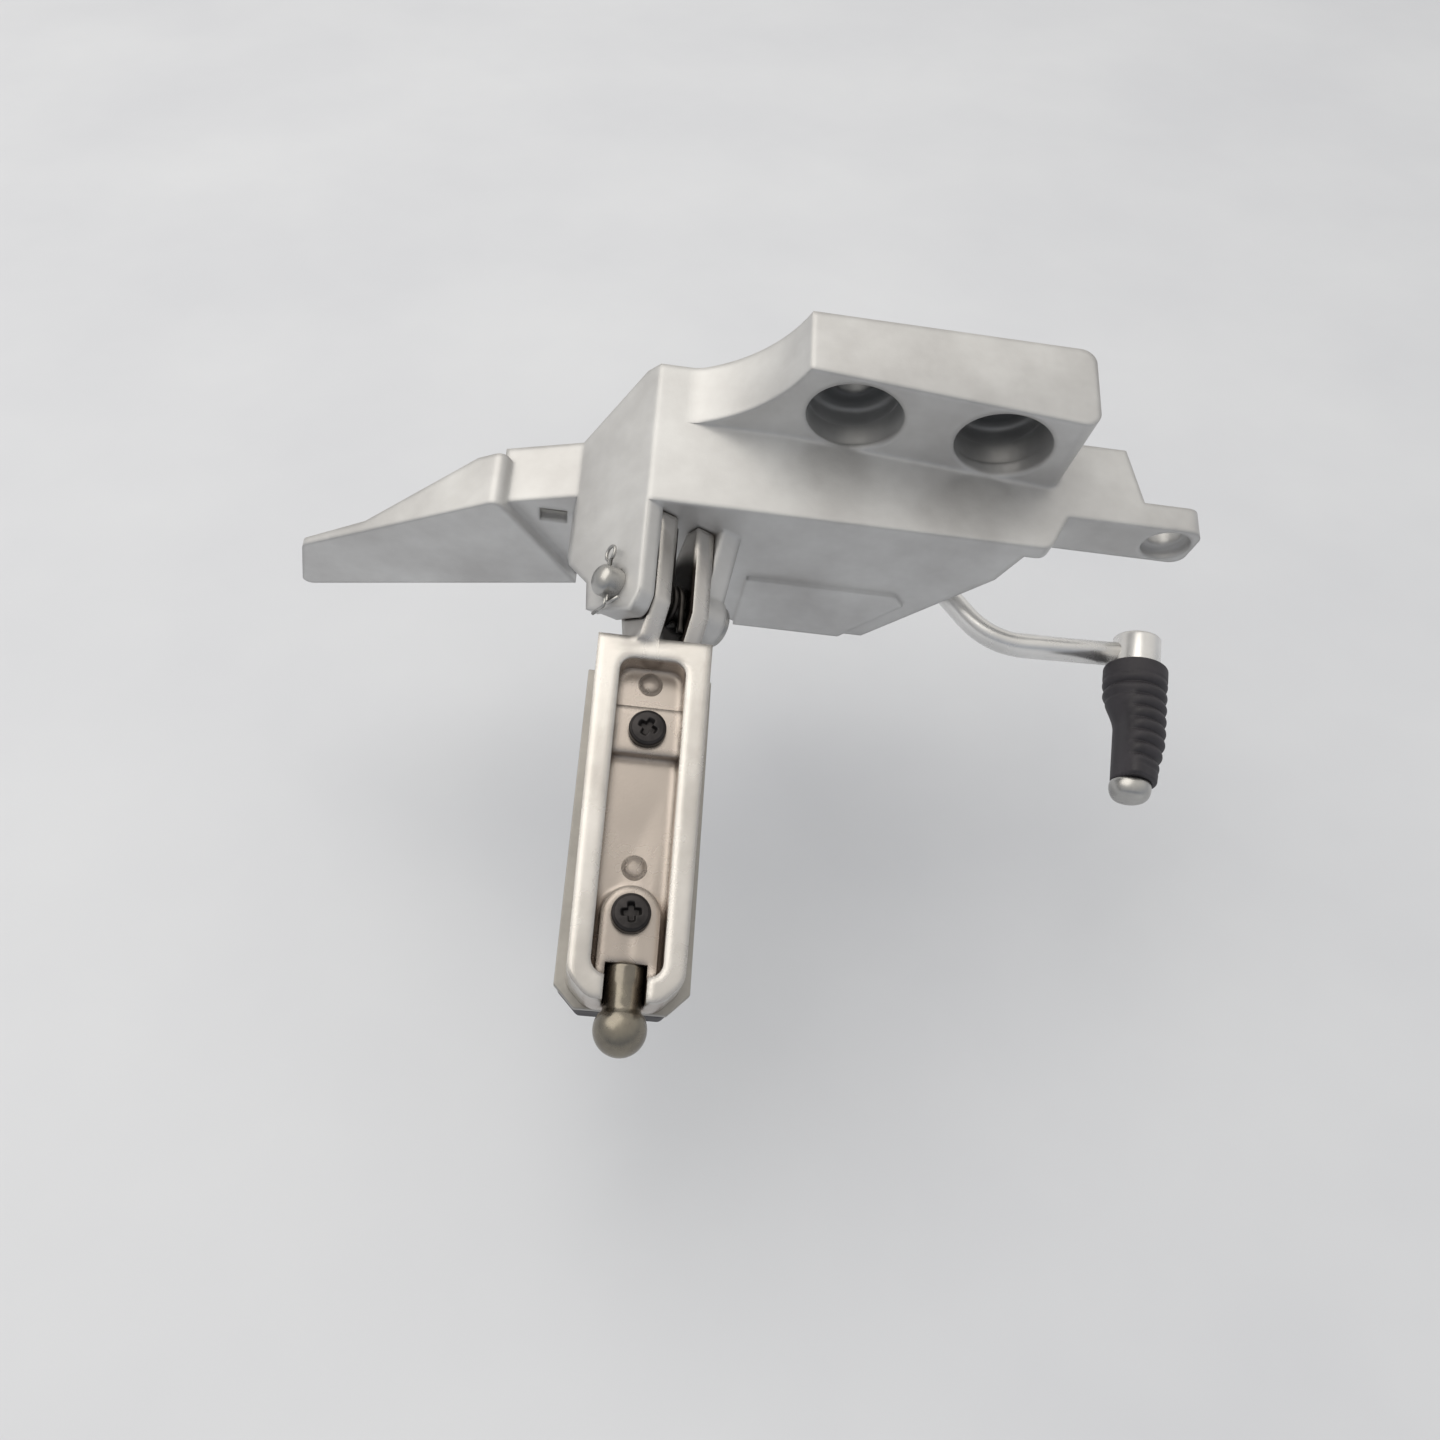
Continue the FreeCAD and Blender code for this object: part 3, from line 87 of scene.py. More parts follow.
def finish(name, low, high, patch, gloss, metallic, grain, relief, worn=0.3):
    """A finish whose colour and roughness drift together between two ends, by a noise of this patch
    size. A finer noise of the grain's size and relief tilts the normal, over edges worn to a radius.
    All four are in mm, and each grain is drawn coarser than the real one, so that it shows."""
    material = bpy.data.materials.new(name)
    material.use_nodes = True
    tree = material.node_tree
    shader = tree.nodes["Principled BSDF"]
    shader.inputs["Metallic"].default_value = metallic
    place = add(tree, "ShaderNodeTexCoord").outputs["Object"]
    cloud = add(tree, "ShaderNodeTexNoise",
                {"Vector": place, "Scale": per_mm(patch), "Detail": 4.0, "Roughness": 0.6})
    drift = add(tree, "ShaderNodeMapRange",
                {"Value": cloud.outputs["Fac"], "From Min": 0.3, "From Max": 0.7}).outputs["Result"]
    tone = add(tree, "ShaderNodeMix", {"Factor": drift, "A": linear(low), "B": linear(high)},
               data_type="RGBA").outputs["Result"]
    tree.links.new(tone, shader.inputs["Base Color"])
    rough = add(tree, "ShaderNodeMapRange", {"Value": drift, "To Min": gloss[0], "To Max": gloss[1]})
    tree.links.new(rough.outputs["Result"], shader.inputs["Roughness"])
    skin = add(tree, "ShaderNodeTexNoise", {"Vector": place, "Scale": per_mm(grain), "Detail": 3.0})
    edge = add(tree, "ShaderNodeBevel", {"Radius": worn / 1000}, samples=6)
    bump = add(tree, "ShaderNodeBump",
               {"Height": skin.outputs["Fac"], "Strength": 0.6, "Distance": relief / 1000,
                "Normal": edge.outputs["Normal"]})
    tree.links.new(bump.outputs["Normal"], shader.inputs["Normal"])
    return material, tree, shader, place, tone


def smear(tree, shader, tone, mask, colour):
    """Lay a second colour over the tone: tone x (1 - mask) + colour x mask."""
    coat = add(tree, "ShaderNodeMix", {"Factor": mask, "A": tone, "B": linear(colour)}, data_type="RGBA")
    tree.links.new(coat.outputs["Result"], shader.inputs["Base Color"])
    return coat.outputs["Result"]


def corner_shade_and_dirt(tree, reach, start, full):
    """A mask of painted shade and dirt in the corners: it rises from 0 to 1 as the share of sky that a
    point sees within a reach in mm falls from start to full."""
    sky = add(tree, "ShaderNodeAmbientOcclusion", {"Distance": reach / 1000}, samples=8)
    return add(tree, "ShaderNodeMapRange",
               {"Value": sky.outputs["AO"], "From Min": start, "From Max": full},
               interpolation_type="SMOOTHSTEP").outputs["Result"]


def hinge_gap_shade(tree, place, reach, half):
    """A mask of painted shade in the hinge gap: it fades in within a reach of the hinge pin's axis, for
    half this length each way along it. The distance to the axis is the length of the cross product with
    it."""
    arm = add(tree, "ShaderNodeVectorMath", {0: place, 1: HINGE}, operation="SUBTRACT").outputs["Vector"]
    off = add(tree, "ShaderNodeVectorMath", {0: arm, 1: PIN_AXIS},
              operation="CROSS_PRODUCT").outputs["Vector"]
    far = add(tree, "ShaderNodeVectorMath", {0: off}, operation="LENGTH").outputs["Value"]
    near = add(tree, "ShaderNodeMapRange",
               {"Value": far, "From Min": reach, "From Max": reach * GAP_SHADE_CORE},
               interpolation_type="SMOOTHSTEP").outputs["Result"]
    along = add(tree, "ShaderNodeVectorMath", {0: arm, 1: PIN_AXIS},
                operation="DOT_PRODUCT").outputs["Value"]
    depth = add(tree, "ShaderNodeMath", {0: along}, operation="ABSOLUTE").outputs["Value"]
    within = add(tree, "ShaderNodeMath", {0: depth, 1: half}, operation="LESS_THAN").outputs["Value"]
    return add(tree, "ShaderNodeMath", {0: near, 1: within}, operation="MULTIPLY").outputs["Value"]


def solid_copy(node, name, edge, material):
    """Copy a CAD solid with its facets joined into faces, then round its edges to a radius."""
    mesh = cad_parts[node].data.copy()
    mesh.materials.clear()
    mesh.materials.append(material)
    form = bmesh.new()
    form.from_mesh(mesh)
    bmesh.ops.remove_doubles(form, verts=form.verts, dist=CAD_DOUBLES)
    bmesh.ops.dissolve_limit(form, angle_limit=FLAT_ANGLE, verts=form.verts, edges=form.edges)
    form.to_mesh(mesh)
    form.free()
    mesh.shade_smooth()
    mesh.set_sharp_from_angle(angle=SHARP_ANGLE)
    piece = bpy.data.objects.new(name, mesh)
    bpy.context.scene.collection.objects.link(piece)
    rounding = piece.modifiers.new("rounded edges", "BEVEL")
    rounding.width = edge
    rounding.segments = EDGE_STEPS
    rounding.limit_method = "ANGLE"
    rounding.angle_limit = SHARP_ANGLE
    rounding.harden_normals = True
    return piece


# To the eye: pale satin grey with soft highlights; painted shade darkens its corners (with dirt),
# recesses and hinge.
cast, tree, shader, place, tone = finish(
    "as-cast aluminium, silver lacquer", low="#bbbab9", high="#d5d5d4", patch=26, gloss=(0.4, 0.5),
    metallic=0.58, grain=0.9, relief=0.04, worn=2.2)
# Painted shade and dirt: a grey-brown laid into the corners that see little sky.
tone = smear(tree, shader, tone, corner_shade_and_dirt(tree, reach=3.0, start=0.5, full=0.15), "#8d867e")
# Painted shade: near black laid into the gap between the hinge lugs.
tone = smear(tree, shader, tone, hinge_gap_shade(tree, place, LUG_SHADE_REACH, LUG_HALF_GAP), "#3a3430")
# Painted shade: dark grey laid round the rail's two round recesses, on their outboard side.
outboard = add(tree, "ShaderNodeSeparateXYZ", {"Vector": place}).outputs["Y"]
outboard = add(tree, "ShaderNodeMath", {0: outboard, 1: RECESS_BACK},
               operation="LESS_THAN").outputs["Value"]
for recess_x in (-RECESS_X, RECESS_X):
    far = add(tree, "ShaderNodeVectorMath", {0: place, 1: (recess_x, RECESS_Y, 0.0)},
              operation="DISTANCE").outputs["Value"]
    deep = add(tree, "ShaderNodeMapRange",
               {"Value": far, "From Min": RECESS_SHADE_EDGE, "From Max": RECESS_SHADE_CORE, "To Max": RECESS_SHADE_MOST},
               interpolation_type="SMOOTHSTEP").outputs["Result"]
    recess_shade = add(tree, "ShaderNodeMath", {0: deep, 1: outboard}, operation="MULTIPLY").outputs["Value"]
    tone = smear(tree, shader, tone, recess_shade, "#3f4245")
hanger = solid_copy("hanger_casting", "hanger_body", HANGER_EDGE, cast)
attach(hanger, "hanger")
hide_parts("hanger_casting")

# Lever pivot: a turned shoulder bolt with a hexagon key hole, screwed into the plate's boss,
# and the ground thrust washer that the lever's hub runs against.
STEEL_EDGE = 0.0004
# To the eye: nearly a mirror, with thin bright lines beside dark ones on every round face.
steel = finish("turned bright steel", low="#9c9b99", high="#bdbcb9", patch=9, gloss=(0.24, 0.36),
               metallic=1.0, grain=0.25, relief=0.01)[0]
for node in ("lever_pivot_bolt", "lever_washer"):
    piece = solid_copy(node, node + "_turned", STEEL_EDGE, steel)
    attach(piece, "hanger")
    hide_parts(node)

# Lever bush: a sleeve of sintered bronze, pressed into the lever's hub.
# It is soaked in oil, and it turns with the lever on the shoulder bolt.
# To the eye: a dull brown gold with the damp look of oil.
bronze = finish("sintered bronze, oiled", low="#8f6a38", high="#a98248", patch=5, gloss=(0.38, 0.5),
                metallic=1.0, grain=0.2, relief=0.02)[0]
bush = solid_copy("lever_bush", "lever_bush_sintered", STEEL_EDGE, bronze)
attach(bush, "lever")
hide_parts("lever_bush")

# Hub seals: two moulded rings of black rubber, pushed into the hub beside the bush.
# They keep its oil in and the dirt of the road out.
# To the eye: matt charcoal that shows its shape only by a grey gleam on its edges.
rubber = finish("moulded black rubber", low="#242226", high="#38353a", patch=7, gloss=(0.5, 0.68),
                metallic=0.0, grain=0.5, relief=0.04)[0]
seals = solid_copy("hub_seals", "hub_seals_moulded", STEEL_EDGE, rubber)
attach(seals, "lever")
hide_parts("hub_seals")

# Gear lever: forged aluminium, ground along its arm and polished.
# Its hub turns on the shoulder bolt, and the toe boss at its end is drilled for the toe pin.
# The arm is drawn with round bends, and the angular bends of the solid's copy are pulled inside it.
LEVER_EDGE = 0.0008
LEVER_PIVOT = np.array((0.012, 0.0, 0.058))
LEVER_DROP = math.radians(10.125)
INBOARD = np.array((0.0, 1.0, 0.0))
ARM_CORNERS = ((0.0060, -0.0267), (0.0275, -0.0267), (0.0450, -0.0495), (0.0853, -0.0520))
ARM_BEND = 0.0105
ARM_STEPS = 14
ARM_SIDES = 28
ARM_HALF_HIGH = 0.0041
ARM_HALF_WIDE = 0.0031
BEND_REACH = 0.0062
BEND_SHRUNK = 0.6
MOST_OF_SIDE = 0.49
DOUBLES = 1e-6


def rounded(corners, radius, steps=6):
    """A line of points whose inner corners become parabolas that start this far before each corner,
    or just short of half way along a side that is too short for it."""
    corners = np.asarray(corners, dtype=float)
    corner = corners[1:-1, None]
    back = corners[:-2, None] - corner
    ahead = corners[2:, None] - corner
    back_long = np.linalg.norm(back, axis=2, keepdims=True)
    ahead_long = np.linalg.norm(ahead, axis=2, keepdims=True)
    start = corner + back * np.minimum(radius / back_long, MOST_OF_SIDE)
    end = corner + ahead * np.minimum(radius / ahead_long, MOST_OF_SIDE)
    t = np.linspace(0.0, 1.0, steps)[None, :, None]
    arcs = (1 - t) ** 2 * start + 2 * t * (1 - t) * corner + t ** 2 * end
    return np.concatenate((corners[:1], arcs.reshape(-1, corners.shape[1]), corners[-1:]))


def around(turns):
    """Equal angles once round, in radians."""
    return np.linspace(0.0, 2 * np.pi, turns, endpoint=False)


def wire(path, reference, high, wide, sides=18):
    """Carry an ellipse along a path: path + high x cos x side + wide x sin x other, where side is the
    part of the reference that is square to the path, and other is square to both."""
    heading = np.gradient(path, axis=0)
    heading = heading / np.linalg.norm(heading, axis=1, keepdims=True)
    side = reference - (heading @ reference)[:, None] * heading
    side = side / np.linalg.norm(side, axis=1, keepdims=True)
    other = np.cross(heading, side)
    angle = around(sides)[None, :, None]
    tube = path[:, None] + high * np.cos(angle) * side[:, None] + wide * np.sin(angle) * other[:, None]
    start = np.repeat(path[:1, None], sides, 1)
    end = np.repeat(path[-1:, None], sides, 1)
    return np.concatenate((start, tube, end))


def surface(name, points, material):
    """Join a grid of points into one skin: rows along the piece, closed round it, doubles merged."""
    rows, turns = points.shape[:2]
    index = np.arange(rows * turns).reshape(rows, turns)
    beside = np.roll(index, -1, axis=1)
    faces = np.stack((index[:-1], index[1:], beside[1:], beside[:-1]), axis=-1).reshape(-1, 4)
    mesh = bpy.data.meshes.new(name)
    mesh.from_pydata(points.reshape(-1, 3).tolist(), [], faces.tolist())
    form = bmesh.new()
    form.from_mesh(mesh)
    bmesh.ops.remove_doubles(form, verts=form.verts, dist=DOUBLES)
    bmesh.ops.recalc_face_normals(form, faces=form.faces)
    form.to_mesh(mesh)
    form.free()
    mesh.shade_smooth()
    mesh.materials.append(material)
    piece = bpy.data.objects.new(name, mesh)
    bpy.context.scene.collection.objects.link(piece)
    return piece


# To the eye: the brightest metal of the part, with long clean highlights down the arm.
polished = finish("forged aluminium, polished", low="#dcdbd9", high="#efeeec", patch=18,
                  gloss=(0.24, 0.34), metallic=0.85, grain=0.7, relief=0.012, worn=1.0)[0]
arm_along = np.array((-math.cos(LEVER_DROP), 0.0, -math.sin(LEVER_DROP)))
arm_up = np.array((-math.sin(LEVER_DROP), 0.0, math.cos(LEVER_DROP)))
arm_line = rounded(ARM_CORNERS, ARM_BEND, ARM_STEPS)
arm_path = LEVER_PIVOT + arm_line[:, :1] * arm_along + arm_line[:, 1:] * INBOARD
arm_skin = wire(arm_path, arm_up, ARM_HALF_HIGH, ARM_HALF_WIDE, ARM_SIDES)
arm = surface("gear_lever_arm", arm_skin, polished)
lever = solid_copy("gear_lever", "gear_lever_forged", LEVER_EDGE, polished)
spots = np.empty(len(lever.data.vertices) * 3, dtype=np.float32)
lever.data.vertices.foreach_get("co", spots)
spots = spots.reshape(-1, 3)
bend_middles = arm_path[ARM_STEPS // 2::ARM_STEPS]
for (reach, out), middle in zip(ARM_CORNERS[1:-1], bend_middles):
    corner = LEVER_PIVOT + reach * arm_along + out * INBOARD
    near = np.linalg.norm(spots - corner, axis=1) < BEND_REACH
    spots[near] = middle + BEND_SHRUNK * (spots[near] - corner)
lever.data.vertices.foreach_set("co", spots.ravel())
for piece in (lever, arm):
    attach(piece, "lever")
    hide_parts("gear_lever")

# Toe pin: turned steel, its thinner tail riveted into the boss of the lever.
# The mushroom at its other end holds the toe rubber on.
TOE_BOSS = np.array((-0.072, -0.052, 0.043))
TOE_LEAN = np.array((0.1148, -0.9932, 0.0205))
TOE_AXIS = TOE_LEAN / np.linalg.norm(TOE_LEAN)
BOSS_HALF = 0.0045
TAIL_RADIUS = 0.0035
TOE_RADIUS = 0.0045
RUBBER_LONG = 0.034
HEAD_RADIUS = 0.0055
HEAD_LONG = 0.005
HEAD_STRAIGHT = 0.55
HEAD_FLAT = 0.75
TOE_ROUND = 0.0016


def spokes(axis, angle):
    """Unit spokes round an axis: cos x side + sin x other, both square to the axis."""
    side = np.array(Vector(axis).orthogonal().normalized())
    other = np.cross(axis, side)
    return np.cos(angle)[:, None] * side + np.sin(angle)[:, None] * other


def turned(origin, axis, profile, turns=72):
    """Swing each (radius, distance) of a profile round an axis:
    origin + distance x axis + radius x spoke."""
    spoke = spokes(axis, around(turns))
    return origin + profile[:, 1, None, None] * axis + profile[:, 0, None, None] * spoke


rubber_end = BOSS_HALF + RUBBER_LONG
head_end = rubber_end + HEAD_LONG
toe_profile = rounded([
    (0, -BOSS_HALF), (TAIL_RADIUS, -BOSS_HALF), (TAIL_RADIUS, BOSS_HALF), (TOE_RADIUS, BOSS_HALF),
    (TOE_RADIUS, rubber_end), (HEAD_RADIUS, rubber_end),
    (HEAD_RADIUS, rubber_end + HEAD_LONG * HEAD_STRAIGHT),
    (HEAD_RADIUS * HEAD_FLAT, head_end), (0, head_end)], TOE_ROUND)
toe_pin = surface("toe_pin_turned", turned(TOE_BOSS, TOE_AXIS, toe_profile), steel)
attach(toe_pin, "lever")
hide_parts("toe_pin")

# Toe rubber: moulded black rubber, stretched over the toe pin. Ribs cross its front, two rings go
# all the way round by the boss, and its rear side is waisted where the boot rests.
RUBBER_RADIUS = 0.00865
RUBBER_ROWS = 230
RUBBER_TURNS = 120
RIB_PITCH = 0.0035
RIB_DEPTH = 0.0011
RIB_BLUNT = 0.8
RIBS_FROM = 0.0036
RIBS_LONG = 0.0280
RIBS_FADE = (-0.45, 0.05)
RINGS_LONG = 0.0085
WAIST_DEPTH = 0.0034
WAIST_FROM = 0.0070
WAIST_LONG = 0.0120
WAIST_FADE = (-0.1, 0.9)
TAPER = 0.0018
TAPER_FROM = 0.6
TAPER_FADE = (-0.2, 0.6)
END_ROUND = 0.0008
REAR_SIDE = np.array((0.9773, 0.1167, 0.1746))


def eased(value, low, high):
    """Rise from 0 to 1 between low and high along a smooth cubic, 3 t squared - 2 t cubed."""
    t = np.clip((value - low) / (high - low), 0.0, 1.0)
    return t * t * (3 - 2 * t)


distance = np.linspace(0.0, RUBBER_LONG, RUBBER_ROWS)[:, None]
spoke = spokes(TOE_AXIS, around(RUBBER_TURNS))
rearward = (spoke @ REAR_SIDE)[None]
ribs_end = RIBS_LONG + RIBS_FROM
ribbed = eased(distance, RIBS_FROM, RIBS_FROM + RIB_PITCH / 2)
ribbed = ribbed * (1 - eased(distance, ribs_end - RIB_PITCH / 2, ribs_end))
valley = 1 - np.abs(np.sin(np.pi * (distance - RIBS_FROM) / RIB_PITCH)) ** RIB_BLUNT
ringed = 1 - eased(distance, RINGS_LONG, RINGS_LONG + RIB_PITCH)
facing = np.maximum(eased(-rearward, *RIBS_FADE), ringed)
waist = WAIST_DEPTH * eased(distance, WAIST_FROM, WAIST_FROM + WAIST_LONG) * eased(rearward, *WAIST_FADE)
taper = TAPER * eased(distance, TAPER_FROM * RUBBER_LONG, RUBBER_LONG) * eased(-rearward, *TAPER_FADE)
from_end = np.clip(np.minimum(distance, RUBBER_LONG - distance) / END_ROUND, 0, 1)
end_round = END_ROUND * (1 - np.sqrt(1 - (1 - from_end) ** 2))
radius = RUBBER_RADIUS - end_round - RIB_DEPTH * ribbed * valley * facing - waist - taper
wall = TOE_BOSS + (BOSS_HALF + distance)[..., None] * TOE_AXIS + radius[..., None] * spoke
bore_profile = np.array([(TOE_RADIUS, BOSS_HALF), (TOE_RADIUS, rubber_end)])
bore = turned(TOE_BOSS, TOE_AXIS, bore_profile, RUBBER_TURNS)
rubber_skin = np.concatenate((bore[:1], wall, bore[1:], bore[:1]))
toe_rubber = surface("toe_rubber_ribbed", rubber_skin, rubber)
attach(toe_rubber, "lever")
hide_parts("toe_rubber")

# Pivot pin: a clevis pin of turned steel with a flat head and a domed tail.
# It is put through both lugs of the hanger and both ribs of the footrest, which folds on it.
PIN_RADIUS = 0.004
PIN_HEAD = 0.0055
PIN_HEAD_FROM = -0.016875
PIN_HEAD_TO = -0.014875
PIN_TAIL = 0.020675
PIN_ROUND = 0.0004
DOME_HIGH = 0.0025
DOME_STEPS = 14
dome = np.linspace(0.0, np.pi / 2, DOME_STEPS)
dome_profile = np.stack((PIN_RADIUS * np.cos(dome), PIN_TAIL - DOME_HIGH * (1 - np.sin(dome))), axis=1)
pin_profile = rounded([
    (0, PIN_HEAD_FROM), (PIN_HEAD, PIN_HEAD_FROM), (PIN_HEAD, PIN_HEAD_TO), (PIN_RADIUS, PIN_HEAD_TO),
    (PIN_RADIUS, PIN_TAIL - DOME_HIGH)], PIN_ROUND)
pin_profile = np.concatenate((pin_profile[:-1], dome_profile))
pivot_pin = surface("pivot_pin_turned", turned(HINGE, PIN_AXIS, pin_profile), steel)
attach(pivot_pin, "hanger")
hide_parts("pivot_pin")

# Split pin: half-round steel wire, bent double round an eye and put through the pivot pin's tail.
# Its two legs are bent apart, so that it stays in.
SPLIT_PLACE = 0.016875
SPLIT_HALF = 0.0064
SPLIT_WIRE = 0.00043
LEG_APART = 0.00042
LEG_LONG = 0.0057
LEG_DROP = 0.0002
LEG_BEND = 0.0012
EYE_CENTRE = 0.0081
EYE_RADIUS = 0.0019
EYE_STEPS = 28
PIN_DOWNWARD = -np.array((math.sin(HINGE_TILT), 0.0, math.cos(HINGE_TILT)))
opening = math.asin(LEG_APART / EYE_RADIUS)
sweep = np.linspace(-np.pi / 2 + opening, 3 * np.pi / 2 - opening, EYE_STEPS)
eye = np.stack((EYE_RADIUS * np.cos(sweep), EYE_CENTRE + EYE_RADIUS * np.sin(sweep)), axis=1)
leg = rounded([(LEG_LONG, -SPLIT_HALF - LEG_DROP), (LEG_APART, -SPLIT_HALF), tuple(eye[0])], LEG_BEND)
outline = np.concatenate((leg[:-1], eye, (leg * (-1, 1))[::-1][1:]))
split_path = HINGE + SPLIT_PLACE * PIN_AXIS + outline[:, :1] * PIN_DOWNWARD + outline[:, 1:] * INBOARD
split_pin = surface("split_pin_bent", wire(split_path, PIN_AXIS, SPLIT_WIRE, SPLIT_WIRE), steel)
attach(split_pin, "hanger")
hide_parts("split_pin")

# Return spring: oiled spring wire wound twice round the pivot pin between the ribs.
# One leg bears on the hanger and the other on the footrest, which it holds down.
COIL_RADIUS = 0.0052
COIL_HALF = 0.00185
COIL_TURNS = 2
COIL_STEPS = 140
SPRING_WIRE = 0.00076
HANGER_LEG = 0.0192
PEG_LEG = 0.0091
SPRING_LEG_STEPS = 12
# To the eye: dark and wet, with one thin glint along each turn.
spring_steel = finish("spring wire, oiled", low="#2c2927", high="#474340", patch=4, gloss=(0.3, 0.45),
                      metallic=0.8, grain=0.3, relief=0.01)[0]
turn = np.linspace(0.0, -2 * np.pi * COIL_TURNS, COIL_STEPS)
coil = np.stack((COIL_RADIUS * np.cos(turn), COIL_RADIUS * np.sin(turn),
                 COIL_HALF * (1 + turn / (np.pi * COIL_TURNS))), axis=1)
leg = np.linspace(1.0, 0.0, SPRING_LEG_STEPS)[:-1, None]
hanger_leg = coil[:1] + leg * (0, HANGER_LEG, 0)
peg_leg = coil[-1:] - leg[::-1] * (0, PEG_LEG, 0)
spring_local = np.concatenate((hanger_leg, coil, peg_leg))
spring_path = HINGE + spring_local @ np.stack((PIN_DOWNWARD, INBOARD, PIN_AXIS))
spring_skin = wire(spring_path, PIN_AXIS, SPRING_WIRE, SPRING_WIRE)
spring = surface("return_spring_wound", spring_skin, spring_steel)
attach(spring, "hanger")
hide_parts("return_spring")

# Footrest: cast aluminium, bead blasted, with a trough on its under side whose floor is painted a little
# darker.
# Its two ribs stand between the hanger's lugs on the pivot pin, and the gap between them is
# darkened with painted shade.
PEG_EDGE = 0.0010
PEG_X = 0.0625
RIB_HALF_GAP = 0.0034
RIB_SHADE_REACH = 0.0165
RIM_Z = 0.0208
TROUGH_FROM = -0.0790
TROUGH_HALF = 0.0088
TROUGH_FADE = 0.0012
# To the eye: silvery and smoother than the hanger, with long streaks of light, and painted shade and
# brown dirt in its corners.
blasted, tree, shader, place, tone = finish(
    "cast aluminium, bead blasted", low="#c3bfba", high="#d8d5d1", patch=20, gloss=(0.2, 0.32),
    metallic=0.95, grain=0.5, relief=0.02, worn=2.6)
# The trough's floor, beyond its start and below its rim, is painted a little darker and warmer.
where = add(tree, "ShaderNodeSeparateXYZ", {"Vector": place})
sunk = add(tree, "ShaderNodeMapRange",
           {"Value": where.outputs["Z"], "From Min": RIM_Z,
            "From Max": RIM_Z + TROUGH_FADE}).outputs["Result"]
aside = add(tree, "ShaderNodeMath", {0: where.outputs["X"], 1: PEG_X},
            operation="SUBTRACT").outputs["Value"]
aside = add(tree, "ShaderNodeMath", {0: aside}, operation="ABSOLUTE").outputs["Value"]
inside = add(tree, "ShaderNodeMath", {0: aside, 1: TROUGH_HALF}, operation="LESS_THAN").outputs["Value"]
trough = add(tree, "ShaderNodeMath", {0: sunk, 1: inside}, operation="MULTIPLY").outputs["Value"]
outward = add(tree, "ShaderNodeMath", {0: where.outputs["Y"], 1: TROUGH_FROM},
              operation="LESS_THAN").outputs["Value"]
trough = add(tree, "ShaderNodeMath", {0: trough, 1: outward}, operation="MULTIPLY").outputs["Value"]
tone = smear(tree, shader, tone, trough, "#b3aaa2")
# Painted shade and brown dirt, laid into the corners that see little sky.
tone = smear(tree, shader, tone, corner_shade_and_dirt(tree, reach=3.5, start=0.6, full=0.2), "#6e6055")
# Painted shade: near black laid into the gap between the ribs.
smear(tree, shader, tone, hinge_gap_shade(tree, place, RIB_SHADE_REACH, RIB_HALF_GAP), "#241f1c")
peg = solid_copy("footrest_casting", "footrest_cast", PEG_EDGE, blasted)
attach(peg, "footrest")
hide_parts("footrest_casting")

# Ejector marks: two low round pads on the trough's floor, cast in one with the footrest.
# They are left by the pins that push the casting out of its mould.
MARK_RADIUS = 0.0030
MARK_HIGH = 0.00025
MARK_DISH = 0.3
MARK_DISH_RADIUS = 0.72
MARK_LIP_RADIUS = 0.8
MARK_ROUND = 0.0002
MARK_TURNS = 48
FLOOR_Z = 0.0270
MARKS_Y = (-0.0849, -0.1316)
DOWN = np.array((0.0, 0.0, -1.0))
mark_profile = rounded([
    (0, MARK_HIGH * MARK_DISH), (MARK_RADIUS * MARK_DISH_RADIUS, MARK_HIGH * MARK_DISH),
    (MARK_RADIUS * MARK_LIP_RADIUS, MARK_HIGH), (MARK_RADIUS, MARK_HIGH),
    (MARK_RADIUS, -MARK_HIGH), (0, -MARK_HIGH)], MARK_ROUND)
for count, mark_y in enumerate(MARKS_Y):
    mark_skin = turned(np.array((PEG_X, mark_y, FLOOR_Z)), DOWN, mark_profile, MARK_TURNS)
    mark = surface("ejector_mark_%d" % count, mark_skin, blasted)
    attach(mark, "footrest")

# Feeler: a turned steel pin with a ball end and yellowish zinc plate.
# It is screwed into the footrest's outer end, and touches the road first when the motorcycle leans.
FEELER = np.array((0.0625, -0.1545, 0.0270))
FEELER_TURNS = 72
OUTBOARD = np.array((0.0, -1.0, 0.0))
THREAD_LONG = 0.007
THREAD_STOP = -0.0004
THREAD_STEPS = 90
THREAD_RADIUS = 0.00245
THREAD_PITCH = 0.0008
THREAD_HALF_DEEP = 0.00014
NECK_RADIUS = 0.00425
NECK_STRAIGHT = 0.0094
NECK_END = 0.0102
NECK_FLARE = 0.0002
NECK_ROUND = 0.0008
BALL_PLACE = 0.014
BALL_RADIUS = 0.006
BALL_BLEND = 0.25
BALL_STEPS = 40
# To the eye: a warm grey with small sharp glints, most of all on the ball.
zinc = finish("zinc plate, yellowish", low="#77726a", high="#918b7e", patch=6, gloss=(0.2, 0.34),
              metallic=0.95, grain=0.4, relief=0.015)[0]
thread = np.linspace(-THREAD_LONG, THREAD_STOP, THREAD_STEPS)
ball_start = math.asin(NECK_RADIUS / BALL_RADIUS) - np.pi / 2 + BALL_BLEND
ball = np.linspace(ball_start, np.pi / 2, BALL_STEPS)
feeler_profile = np.concatenate((
    [(0.0, -THREAD_LONG)],
    np.stack((np.full(THREAD_STEPS, THREAD_RADIUS), thread), axis=1),
    rounded([(THREAD_RADIUS, 0.0), (NECK_RADIUS, 0.0), (NECK_RADIUS, NECK_STRAIGHT),
             (NECK_RADIUS + NECK_FLARE, NECK_END)], NECK_ROUND),
    np.stack((BALL_RADIUS * np.cos(ball), BALL_PLACE + BALL_RADIUS * np.sin(ball)), axis=1)))
angle = around(FEELER_TURNS)
spoke = spokes(OUTBOARD, angle)
